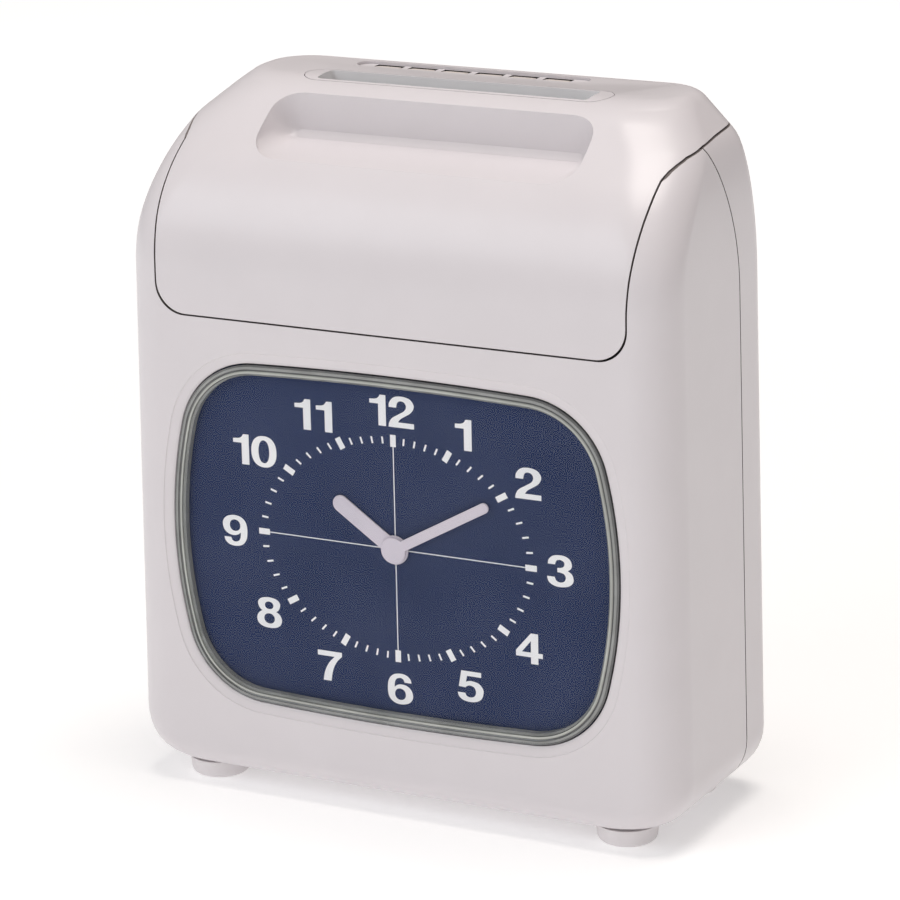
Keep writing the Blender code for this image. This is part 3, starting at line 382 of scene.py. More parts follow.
def mesh_from(bm, name, smooth=True, sharp=30.0):
    mesh = bpy.data.meshes.new(name)
    bmesh.ops.recalc_face_normals(bm, faces=bm.faces)
    if bm.calc_volume(signed=True) < 0:
        bmesh.ops.reverse_faces(bm, faces=bm.faces)
    bm.to_mesh(mesh)
    bm.free()
    if smooth:
        mesh.shade_smooth()
        mesh.set_sharp_from_angle(angle=math.radians(sharp))
    return mesh


def block(name, low, high, bevel=0.0):
    size = Vector(high) - Vector(low)
    centre = (Vector(low) + Vector(high)) / 2
    bm = bmesh.new()
    bmesh.ops.create_cube(bm, size=1.0, matrix=Matrix.Translation(centre) @ Matrix.Diagonal((*size, 1.0)))
    if bevel:
        bmesh.ops.bevel(bm, geom=bm.edges[:], offset=bevel, segments=3, profile=0.5, affect="EDGES")
    return temporary(name, mesh_from(bm, name))


AXIS_TURNS = {
    "X": Matrix.Rotation(math.radians(90), 4, "Y"),
    "Y": Matrix.Rotation(math.radians(-90), 4, "X"),
    "Z": Matrix.Identity(4),
}


def rod(name, start, axis, radius, length, segments=32):
    bm = bmesh.new()
    turn = Matrix.Translation(start) @ AXIS_TURNS[axis] @ Matrix.Translation((0, 0, length / 2))
    bmesh.ops.create_cone(
        bm, cap_ends=True, segments=segments, radius1=radius, radius2=radius, depth=length, matrix=turn
    )
    return temporary(name, mesh_from(bm, name))


PLANE_POINTS = {
    "XY": lambda u, v, w: (u, v, w),
    "XZ": lambda u, v, w: (u, w, v),
    "YZ": lambda u, v, w: (w, u, v),
}


def flat_fill(loops):
    """Triangles over a flat outline with holes, as points and index triples."""
    curve = bpy.data.curves.new("fill", "CURVE")
    curve.dimensions = "2D"
    curve.fill_mode = "FRONT"
    for loop in loops:
        spline = curve.splines.new("POLY")
        spline.points.add(len(loop) - 1)
        for point, (u, v) in zip(spline.points, loop):
            point.co = (u, v, 0, 1)
        spline.use_cyclic_u = True
    guide = temporary("fill", curve)
    mesh = settle(guide)
    points = [(v.co.x, v.co.y) for v in mesh.vertices]
    faces = [tuple(p.vertices) for p in mesh.polygons]
    bpy.data.meshes.remove(mesh)
    return points, faces


def plate(name, loops, plane, across, bevel=0.0):
    """A flat outline with holes, made thick. across is its start and end along the plane's normal."""
    points, faces = flat_fill(loops)
    place = PLANE_POINTS[plane]
    bm = bmesh.new()
    base = [bm.verts.new(place(u, v, across[0])) for u, v in points]
    for face in faces:
        bm.faces.new([base[i] for i in face])
    bmesh.ops.remove_doubles(bm, verts=bm.verts, dist=1e-7)
    move = Vector(place(0, 0, across[1] - across[0]))
    made = bmesh.ops.extrude_face_region(bm, geom=bm.faces[:], use_keep_orig=True)
    bmesh.ops.translate(bm, vec=move, verts=[g for g in made["geom"] if isinstance(g, bmesh.types.BMVert)])
    bmesh.ops.recalc_face_normals(bm, faces=bm.faces)
    if bevel:
        rims = [e for e in bm.edges if len(e.link_faces) == 2 and e.calc_face_angle(0) > 1.0]
        flat = [e for e in rims if abs((e.verts[0].co - e.verts[1].co).dot(move)) < 1e-9]
        bmesh.ops.bevel(bm, geom=flat, offset=bevel, segments=3, profile=0.5, affect="EDGES")
    return temporary(name, mesh_from(bm, name))


def boolean(thing, other, operation):
    step = thing.modifiers.new(operation.lower(), "BOOLEAN")
    step.operation = operation
    step.object = other


def cut(thing, *others):
    for other in others:
        boolean(thing, other, "DIFFERENCE")


def join(thing, *others):
    for other in others:
        boolean(thing, other, "UNION")


def keep(thing, other):
    boolean(thing, other, "INTERSECT")


def worked(thing, helpers_from):
    """The mesh after its Booleans, with every helper object made since helpers_from removed."""
    mesh = settle(thing)
    for helper in set(bpy.data.objects) - helpers_from:
        bpy.data.objects.remove(helper)
    return mesh


def rectangle(u, v):
    return [(u[0], v[0]), (u[1], v[0]), (u[1], v[1]), (u[0], v[1])]


def circle(centre, radius, steps=32):
    turns = [2 * math.pi * i / steps for i in range(steps)]
    return [(centre[0] + radius * math.cos(t), centre[1] + radius * math.sin(t)) for t in turns]


def rounded(u, v, radius, steps=12):
    corners = ((u[1], v[1], 0), (u[0], v[1], 1), (u[0], v[0], 2), (u[1], v[0], 3))
    loop = []
    for cu, cv, quarter in corners:
        centre_u = cu - math.copysign(radius, cu - (u[0] + u[1]) / 2)
        centre_v = cv - math.copysign(radius, cv - (v[0] + v[1]) / 2)
        for i in range(steps + 1):
            turn = math.pi / 2 * (quarter + i / steps)
            loop.append((centre_u + radius * math.cos(turn), centre_v + radius * math.sin(turn)))
    return loop


# The case's outer surface: points and normals from one formula


def half_width(z):
    if z <= NECK_Z:
        share = (z - BASE_Z) / (NECK_Z - BASE_Z)
        return BASE_HALF + (NECK_HALF - BASE_HALF) * share
    slope_turn = math.atan(SHOULDER_HEIGHT / SHOULDER_WIDTH)
    slope_z = NECK_Z + SHOULDER_HEIGHT * math.sin(slope_turn)
    slope_x = NECK_HALF - SHOULDER_WIDTH * (1 - math.cos(slope_turn))
    if z <= slope_z:
        rise = (z - NECK_Z) / SHOULDER_HEIGHT
        return NECK_HALF - SHOULDER_WIDTH * (1 - math.sqrt(1 - rise * rise))
    crown_z = TOP_Z - CROWN_RADIUS * (1 - DIAGONAL)
    if z <= crown_z:
        return slope_x - (z - slope_z)
    centre_x = slope_x - (crown_z - slope_z) - CROWN_RADIUS * DIAGONAL
    drop = z - (TOP_Z - CROWN_RADIUS)
    return centre_x + math.sqrt(max(CROWN_RADIUS**2 - drop**2, 0))


def front_y(z):
    if z <= BEND_Z:
        return FRONT_Y
    slope_z = BEND_Z + BEND_RADIUS * math.sin(BEND_TURN)
    if z <= slope_z:
        return FRONT_Y + BEND_RADIUS - math.sqrt(BEND_RADIUS**2 - (z - BEND_Z) ** 2)
    slope_y = FRONT_Y + BEND_RADIUS * (1 - math.cos(BEND_TURN))
    brow_z = TOP_Z - BROW_RADIUS * (1 - math.sin(BEND_TURN))
    if z <= brow_z:
        return slope_y + (z - slope_z) * math.tan(BEND_TURN)
    centre_y = slope_y + (brow_z - slope_z) * math.tan(BEND_TURN) + BROW_RADIUS * math.cos(BEND_TURN)
    drop = z - (TOP_Z - BROW_RADIUS)
    return centre_y - math.sqrt(max(BROW_RADIUS**2 - drop**2, 0))


def front_corner(z):
    share = min(max((z - CORNER_LOW_Z) / (CORNER_HIGH_Z - CORNER_LOW_Z), 0), 1)
    return FRONT_CORNER + (TOP_CORNER - FRONT_CORNER) * share * share * (3 - 2 * share)


def level_at(s):
    """(height, side inset, front and rear inset) at s: the base's rounding to 1, then metres above it."""
    if s < 1:
        turn = math.pi / 2 * s
        side = BASE_SIDE_RADIUS * (1 - math.sin(turn))
        rise = BASE_SIDE_RADIUS * (1 - math.cos(turn))
        depth = max(BASE_FRONT_RADIUS - rise, 0)
        return BASE_Z + rise, side, BASE_FRONT_RADIUS - math.sqrt(BASE_FRONT_RADIUS**2 - depth**2)
    return BASE_Z + BASE_SIDE_RADIUS + s - 1, 0.0, 0.0


def ring(s, inset, front_steps, rear_steps):
    """Points and tangents of one level section, from the middle of the front round by +X."""
    z, side, front_inset = level_at(s)
    corner = front_corner(z) - inset
    rear_radius = REAR_CORNER - inset
    half = half_width(z) - side - inset
    front = front_y(z) + front_inset + inset
    rear = REAR_Y - front_inset - inset
    corner = min(corner, 0.8 * (rear - rear_radius - front))
    height = z + inset * (1 - 2 * (z - BASE_Z) / (TOP_Z - BASE_Z))
    points, tangents = [], []
    for i in range(front_steps + 1):
        turn = math.pi / 2 * i / front_steps
        sin, cos = math.sin(turn), math.cos(turn)
        points.append(Vector((half - corner * (1 - sin), front + corner * (1 - cos), height)))
        tangents.append(Vector((cos, sin, 0)))
    for i in range(rear_steps + 1):
        turn = math.pi / 2 * i / rear_steps
        sin, cos = math.sin(turn), math.cos(turn)
        points.append(Vector((half - rear_radius * (1 - cos), rear - rear_radius * (1 - sin), height)))
        tangents.append(Vector((-sin, cos, 0)))
    points += [Vector((-p.x, p.y, p.z)) for p in reversed(points)]
    tangents += [Vector((t.x, -t.y, 0)) for t in reversed(tangents)]
    return points, tangents


def levels():
    """The section levels, closer together where the surface bends."""
    found = [i / 10 for i in range(10)]
    heights = [BASE_Z + BASE_SIDE_RADIUS, 0.070, 0.110, 0.150, 0.180, BEND_Z]
    heights += [BEND_Z + BEND_RADIUS * math.sin(BEND_TURN * i / 15) for i in range(1, 16)]
    heights += [0.2300, 0.2325, 0.2345, 0.2360, 0.2380, 0.2400]
    quarter = math.pi / 2 - BEND_TURN
    heights += [TOP_Z - BROW_RADIUS * (1 - math.cos(quarter * (1 - i / 12))) for i in range(13)]
    return found + [1 + z - BASE_Z - BASE_SIDE_RADIUS for z in heights]


def bridge(bm, lower, upper):
    """Four-sided faces between two closed rows of points."""
    for i in range(len(lower)):
        j = (i + 1) % len(lower)
        bm.faces.new((lower[i], lower[j], upper[j], upper[i]))


def loft_mesh(name, loops, smooth=True):
    bm = bmesh.new()
    rings = [[bm.verts.new(point) for point in loop] for loop in loops]
    for lower, upper in zip(rings, rings[1:]):
        bridge(bm, lower, upper)
    bm.faces.new(list(reversed(rings[0])))
    bm.faces.new(rings[-1])
    bmesh.ops.triangulate(bm, faces=[f for f in bm.faces if len(f.verts) == 4])
    return mesh_from(bm, name, smooth)


def case_mesh(name, inset, front_steps=14, rear_steps=10):
    return loft_mesh(name, [ring(s, inset, front_steps, rear_steps)[0] for s in levels()])


def surface_normals():
    """A search tree of the outer surface's triangles, and the true normal at each of its points."""
    points, normals = [], []
    small = 1e-5
    chain = levels()
    for s in chain:
        here, tangents = ring(s, 0.0, 14, 10)
        low = max(s - small, 0.0)
        high = min(s + small, chain[-1])
        below = ring(low, 0.0, 14, 10)[0]
        above = ring(high, 0.0, 14, 10)[0]
        for point, tangent, a, b in zip(here, tangents, below, above):
            rise = b - a
            points.append(point)
            normals.append(tangent.cross(rise).normalized())
    size = len(points) // len(chain)
    faces = []
    for k in range(len(chain) - 1):
        for i in range(size):
            j = (i + 1) % size
            a, b, c, d = k * size + i, k * size + j, (k + 1) * size + j, (k + 1) * size + i
            faces += [(a, b, c), (a, c, d)]
    for start in (0, (len(chain) - 1) * size):
        faces += [(start, start + i, start + i + 1) for i in range(1, size - 1)]
    return BVHTree.FromPolygons(points, faces), points, faces, normals


def true_normals(mesh, field, reach=0.00004):
    """Gives the parts of a mesh that lie on the case's outer surface that surface's own normals."""
    tree, points, faces, normals = field
    mesh.shade_smooth()
    mesh.set_sharp_from_angle(angle=math.radians(28))
    wanted = [Vector((0, 0, 0))] * len(mesh.loops)
    for polygon in mesh.polygons:
        near = tree.find_nearest(polygon.center)
        if near[0] is None or near[3] > reach or abs(near[1].dot(polygon.normal)) < 0.995:
            continue
        for loop_index in polygon.loop_indices:
            spot = mesh.vertices[mesh.loops[loop_index].vertex_index].co
            hit, _, index, _ = tree.find_nearest(spot)
            a, b, c = (points[i] for i in faces[index])
            area = (b - a).cross(c - a)
            whole = area.length_squared
            if whole < 1e-22:
                continue
            u = (c - b).cross(hit - b).dot(area) / whole
            v = (a - c).cross(hit - c).dot(area) / whole
            na, nb, nc = (normals[i] for i in faces[index])
            blend = na * u + nb * v + nc * (1 - u - v)
            if blend.length > 0.2 and blend.normalized().dot(polygon.normal) > 0.8:
                wanted[loop_index] = blend.normalized()
    mesh.normals_split_custom_set(wanted)


def cover_zone(name, spread):
    half = COVER_HALF + spread
    foot = rounded((-half, half), (COVER_LOW_Z - spread, 0.40), COVER_CORNER, 16)
    right = [(half + out, z) for out, z in COVER_SIDE]
    left = [(-half - out, z) for out, z in reversed(COVER_SIDE)]
    low = [point for point in foot if point[1] < 0.19]
    panel = plate(name, [left + low + right], "XZ", (-0.06, 0.0))
    ledge = [(y, z - spread) for y, z in COVER_LEDGE]
    ledge[0] = (ledge[0][0] - spread, ledge[0][1])
    seam = [(ledge[0][0], 0.31), *ledge, (ledge[-1][0], 0.31)]
    join(panel, plate(name + "_upper", [seam], "YZ", (-0.13, 0.13)))
    return panel


def rear_zone(name, spread):
    seam = [(CASE_SEAM_Y - spread, -0.05), (CASE_SEAM_Y - spread, CASE_SEAM_BEND_Z)]
    for i in range(1, 15):
        rise = 0.00475 * i
        lean = CASE_SEAM_RADIUS - math.sqrt(CASE_SEAM_RADIUS**2 - rise**2)
        seam.append((CASE_SEAM_Y - lean - spread, CASE_SEAM_BEND_Z + rise))
    seam += [(0.10, seam[-1][1]), (0.10, -0.05)]
    return plate(name, [seam], "YZ", (-0.13, 0.13))


def bow_radius(apex, along, across):
    """The radius of a bowed side through apex that meets the lens's corner arc without a kink."""
    back = along - apex
    return (LENS_CORNER**2 - across**2 - back**2) / (2 * (back + LENS_CORNER))


def lens_outline(spread, steps=20):
    """The lens's outline, grown by spread: four bowed sides and four round corners."""
    across, up = LENS_CORNER_AT
    side = bow_radius(LENS_HALF_WIDTH, across, up)
    top = bow_radius(LENS_HALF_HEIGHT, up, across)
    start = math.atan2(up, across - LENS_HALF_WIDTH + side)
    end = math.pi / 2 - math.atan2(across, up - LENS_HALF_HEIGHT + top)
    arcs = (
        (LENS_HALF_WIDTH - side, 0.0, side, 0.0, start, steps // 2),
        (across, up, LENS_CORNER, start, end, steps),
        (0.0, LENS_HALF_HEIGHT - top, top, end, math.pi / 2, steps // 2),
    )
    quarter = [(LENS_HALF_WIDTH + spread, 0.0)]
    for centre_u, centre_v, radius, first, last, count in arcs:
        for i in range(1, count + 1):
            turn = first + (last - first) * i / count
            reach = radius + spread
            quarter.append((centre_u + reach * math.cos(turn), centre_v + reach * math.sin(turn)))
    loop = quarter + [(-u, v) for u, v in reversed(quarter[:-1])]
    loop += [(-u, -v) for u, v in quarter[1:]] + [(u, -v) for u, v in reversed(quarter[1:-1])]
    return [(u, LENS_Z + v) for u, v in loop]


def stacked(name, steps):
    """A cutter through the front, its outline spread by a different amount at each depth."""
    loops = [[(u, y, v) for u, v in lens_outline(spread)] for y, spread in steps]
    return temporary(name, loft_mesh(name, loops))


def cut_foot_hole(case, x, y):
    cut(case, rod("foot_hole", (x, y, BASE_Z - 0.005), "Z", FOOT_HOLE_RADIUS, 0.012, 16))


def build_front_case(field):
    before = set(bpy.data.objects)
    case = temporary("front_case_shell", case_mesh("front_case_shell", 0.0))
    cut(case, temporary("hollow", case_mesh("hollow", WALL, 6, 5)))
    cut(case, rear_zone("end", SEAM), cover_zone("mouth", SEAM))
    for x, z in SCREW_PLACES:
        post = rod("screw_post", (x, FRONT_Y + WALL / 2, z), "Y", SCREW_POST_RADIUS, SCREW_POST_LENGTH)
        cut(post, rod("screw_post_hole", (x, 0.010, z), "Y", SCREW_POST_BORE, 0.05, 16))
        join(case, post)
    dish = [
        (-0.0460, 0.0043), (-0.04191, 0.0043), (-0.04162, 0.0040), (-0.04140, 0.0031), (-0.04122, 0.0018),
        (-0.04106, 0.0009), (-0.04075, 0.0005), (-0.03900, 0.0004), (-0.03000, 0.0004),
    ]
    cut(case, stacked("dish", dish))
    cut(case, rod("lock_hole", (-0.12, LOCK_Y, LOCK_Z), "X", LOCK_RADIUS + GAP, 0.03))
    for x, y in FOOT_PLACES[:2]:
        cut_foot_hole(case, x, y)
    mesh = worked(case, before)
    true_normals(mesh, field)
    return add("case_front_shell", mesh, "case", "case_plastic", ["front_case"])


def build_rear_case(field):
    before = set(bpy.data.objects)
    case = temporary("rear_case_shell", case_mesh("rear_case_shell", 0.0))
    cut(case, temporary("hollow", case_mesh("hollow", WALL, 6, 5)))
    keep(case, rear_zone("reach", 0.0))
    cut(case, cover_zone("mouth", SEAM))
    cut(case, block("hinge_relief", *HINGE_RELIEF))
    for side in (-1, 1):
        x = side * HINGE_EAR_X
        loop = list(HINGE_EAR_FOOT)
        for i in range(17):
            turn = math.pi * i / 16
            y = HINGE_Y + HINGE_KNUCKLE_RADIUS * math.cos(turn)
            loop.append((y, HINGE_Z + HINGE_KNUCKLE_RADIUS * math.sin(turn)))
        bore = circle((HINGE_Y, HINGE_Z), HINGE_PIN_RADIUS + GAP, 20)
        join(case, plate("hinge_ear", [loop, bore], "YZ", (x - HINGE_EAR_HALF, x + HINGE_EAR_HALF)))
    for x, z in SCREW_PLACES:
        cut(case, rod("screw_hole", (x, 0.03, z), "Y", SCREW_HOLE_RADIUS, 0.03, 20))
        cut(case, rod("counterbore", (x, COUNTERBORE_Y, z), "Y", COUNTERBORE_RADIUS, 0.03))
    for x, y in FOOT_PLACES[2:]:
        cut_foot_hole(case, x, y)
    for side in (-1, 1):
        x = side * KEYHOLE_X
        cut(case, rod("keyhole_head", (x, 0.03, KEYHOLE_Z), "Y", KEYHOLE_HEAD_RADIUS, 0.03))
        low = (x - KEYHOLE_NECK_HALF, 0.03, KEYHOLE_Z)
        cut(case, block("keyhole_neck", low, (x + KEYHOLE_NECK_HALF, 0.06, KEYHOLE_Z + KEYHOLE_RISE)))
    low, high = INLET_BOX
    cut(case, block("inlet_hole", (low[0] - GAP, 0.03, low[2] - GAP), (high[0] + GAP, 0.06, high[2] + GAP)))
    for i in range(VENT_COUNT):
        x = VENT_FIRST_X + VENT_PITCH * i
        slit = rounded((x - VENT_HALF, x + VENT_HALF), VENT_Z, VENT_ROUND, 6)
        cut(case, plate("vent", [slit], "XZ", (0.03, 0.06)))
    mesh = worked(case, before)
    true_normals(mesh, field)
    return add("case_rear_shell", mesh, "case", "case_plastic", ["rear_case"])


def scoop_shape(name, spread, levels_used):
    loops = []
    for depth, shrink in levels_used:
        low = SCOOP_CORNER_UP * max(depth, 0) / SCOOP_CORNER_DEPTH - spread
        high = SCOOP_LENGTH - depth + spread
        half = SCOOP_HALF + spread - shrink
        radius = min(SCOOP_ROUND, 0.45 * (high - low))
        inward = depth + spread if depth > 0 else depth
        loop = []
        for u, v in rounded((-half, half), (low, high), radius, 10):
            loop.append((u, SCOOP_LOW[0] + (v + inward) * DIAGONAL, SCOOP_LOW[1] + (v - inward) * DIAGONAL))
        loops.append(loop)
    return temporary(name, loft_mesh(name, loops))


def bezel_outline(spread, steps=12):
    low, high = BEZEL_Y[0] - spread, BEZEL_Y[1] + spread
    return rounded((-BEZEL_HALF - spread, BEZEL_HALF + spread), (low, high), (high - low) / 2 - 1e-5, steps)


def panel_outline(spread, steps=12):
    low, high = PANEL_Y[0] - spread, PANEL_Y[1] + spread
    return rounded((PANEL_X[0] - spread, PANEL_X[1] + spread), (low, high), (high - low) / 2 - 1e-5, steps)


def build_cover(field):
    before = set(bpy.data.objects)
    cover = temporary("cover_shell", case_mesh("cover_shell", 0.0))
    cut(cover, temporary("hollow", case_mesh("hollow", WALL, 6, 5)))
    keep(cover, cover_zone("reach", 0.0))
    dish = scoop_shape("scoop_wall", SCOOP_WALL, SCOOP_LEVELS)
    keep(dish, temporary("scoop_wall_limit", case_mesh("scoop_wall_limit", WALL / 2, 6, 5)))
    join(cover, dish)
    cut(cover, scoop_shape("scoop", 0.0, SCOOP_LEVELS))
    cut(cover, plate("bezel_hole", [bezel_outline(GAP)], "XY", (0.235, 0.26)))
    cut(cover, plate("panel_hole", [panel_outline(GAP)], "XY", (0.235, 0.26)))
    for side in (-1, 1):
        x = side * HINGE_LUG_X
        lug_start = (x - HINGE_LUG_LENGTH / 2, HINGE_Y, HINGE_Z)
        join(cover, rod("hinge_lug", lug_start, "X", HINGE_KNUCKLE_RADIUS, HINGE_LUG_LENGTH, 24))
        cut(cover, rod("lug_bore", (x - 0.02, HINGE_Y, HINGE_Z), "X", HINGE_PIN_RADIUS + GAP, 0.04, 24))
        x = side * HINGE_EAR_X
        half = HINGE_EAR_HALF + 0.0004
        (near_y, far_y), (low_z, high_z) = HINGE_NOTCH_Y, HINGE_NOTCH_Z
        cut(cover, block("hinge_notch", (x - half, near_y, low_z), (x + half, far_y, high_z)))
    mesh = worked(cover, before)
    true_normals(mesh, field)
    return add("cover_shell", mesh, "cover", "case_plastic", ["top_cover"])


def repaint(piece, look, within=lambda spot: True):
    """Gives a piece's upright faces, or those within a region, a second look."""
    piece.data.materials.append(LOOKS[look])
    for polygon in piece.data.polygons:
        if abs(polygon.normal.z) < 0.5 and within(polygon.center):
            polygon.material_index = 1


def build_slot_and_buttons():
    """The slot's bezel, and the keys, whose tops fall to the rear between gaps with walls painted dark as
    shade.
    """
    before = set(bpy.data.objects)
    slot = rounded((-SLOT_HALF, SLOT_HALF), SLOT_Y, 0.0015, 8)
    bezel = plate("slot_bezel", [bezel_outline(0.0), slot], "XY", (BEZEL_LOW_Z, 0.2600))
    keep(bezel, temporary("bezel_limit", case_mesh("bezel_limit", 0.0)))
    mesh = worked(bezel, before)
    mesh.set_sharp_from_angle(angle=math.radians(30))
    piece = add("slot_bezel", mesh, "cover", "case_plastic", ["card_slot_bezel"])
    # The slot's upright walls are painted near white as painted light, brighter than the rest of the bezel.
    repaint(
        piece,
        "slot_painted_light",
        lambda spot: abs(spot.x) < SLOT_HALF + GAP and SLOT_Y[0] - GAP < spot.y < SLOT_Y[1] + GAP,
    )
    holes = []
    for i in range(BUTTON_COUNT):
        x = BUTTON_FIRST_X + BUTTON_PITCH * i
        wide, deep = BUTTON_SIZE
        holes.append(
            rectangle(
                (x - wide / 2 - GAP, x + wide / 2 + GAP),
                (BUTTON_Y - deep / 2 - GAP, BUTTON_Y + deep / 2 + GAP),
            )
        )
        low = (x - wide / 2 + KEY_GAP, BUTTON_Y - deep / 2, KEY_LOW_Z)
        high = (x + wide / 2 - KEY_GAP, BUTTON_Y + deep / 2 - KEY_GAP, PANEL_TOP_Z + KEY_RISE)
        key = settle(block("key", low, high, KEY_ROUND))
        for vertex in key.vertices:
            if vertex.co.z > KEY_SLOPE_Z:
                vertex.co.z -= KEY_DROP * (vertex.co.y - low[1]) / deep
        body, node = f"button_{i + 1}_group", f"button_{i + 1}"
        add(f"key_{i + 1}", key, body, "button_plastic", [node])
    panel = plate("key_panel", [panel_outline(0.0), *holes], "XY", (PANEL_LOW_Z, PANEL_TOP_Z))
    piece = add("key_panel", settle(panel), "cover", "case_plastic", ["button_panel"])
    # The panel's upright faces, the walls of the gaps round the keys, are painted dark as shade.
    repaint(piece, "painted_gap_shade")


# Dial


def sweep_rim(name, profile, look, body="case"):
    """A ring that follows the lens outline, from (spread, y) points of its section."""
    loops = [[(u, y, v) for u, v in lens_outline(spread, 28)] for spread, y in profile]
    bm = bmesh.new()
    rings = [[bm.verts.new(point) for point in loop] for loop in loops]
    for lower, upper in zip(rings, rings[1:] + rings[:1]):
        bridge(bm, lower, upper)
    return add(name, mesh_from(bm, name, sharp=35.0), body, look)


def smooth_through(points):
    """A closed outline through (x, y, is_corner) points: straight between corners, curved elsewhere."""
    count = len(points)
    loop = []
    for k in range(count):
        p0, p1, p2, p3 = (points[(k + d) % count] for d in (-1, 0, 1, 2))
        a, b = Vector(p1[:2]), Vector(p2[:2])
        if p1[2] and p2[2]:
            loop.append((a.x, a.y))
            continue
        chord = b - a
        out = chord if p1[2] else (b - Vector(p0[:2])) * 0.5
        into = chord if p2[2] else (Vector(p3[:2]) - a) * 0.5
        if p1[2]:
            out = chord * 1.5 - into * 0.5
        if p2[2]:
            into = chord * 1.5 - out * 0.5
        for i in range(6):
            t = i / 6
            h00, h10 = 2 * t**3 - 3 * t**2 + 1, t**3 - 2 * t**2 + t
            h01, h11 = -2 * t**3 + 3 * t**2, t**3 - t**2
            spot = a * h00 + out * h10 + b * h01 + into * h11
            loop.append((spot.x, spot.y))
    return loop


def oval(cx, cy, rx, ry, power=2.2, steps=36):
    loop = []
    for i in range(steps):
        turn = 2 * math.pi * i / steps
        c, s = math.cos(turn), math.sin(turn)
        loop.append(
            (
                cx + rx * math.copysign(abs(c) ** (2 / power), c),
                cy + ry * math.copysign(abs(s) ** (2 / power), s),
            )
        )
    return loop


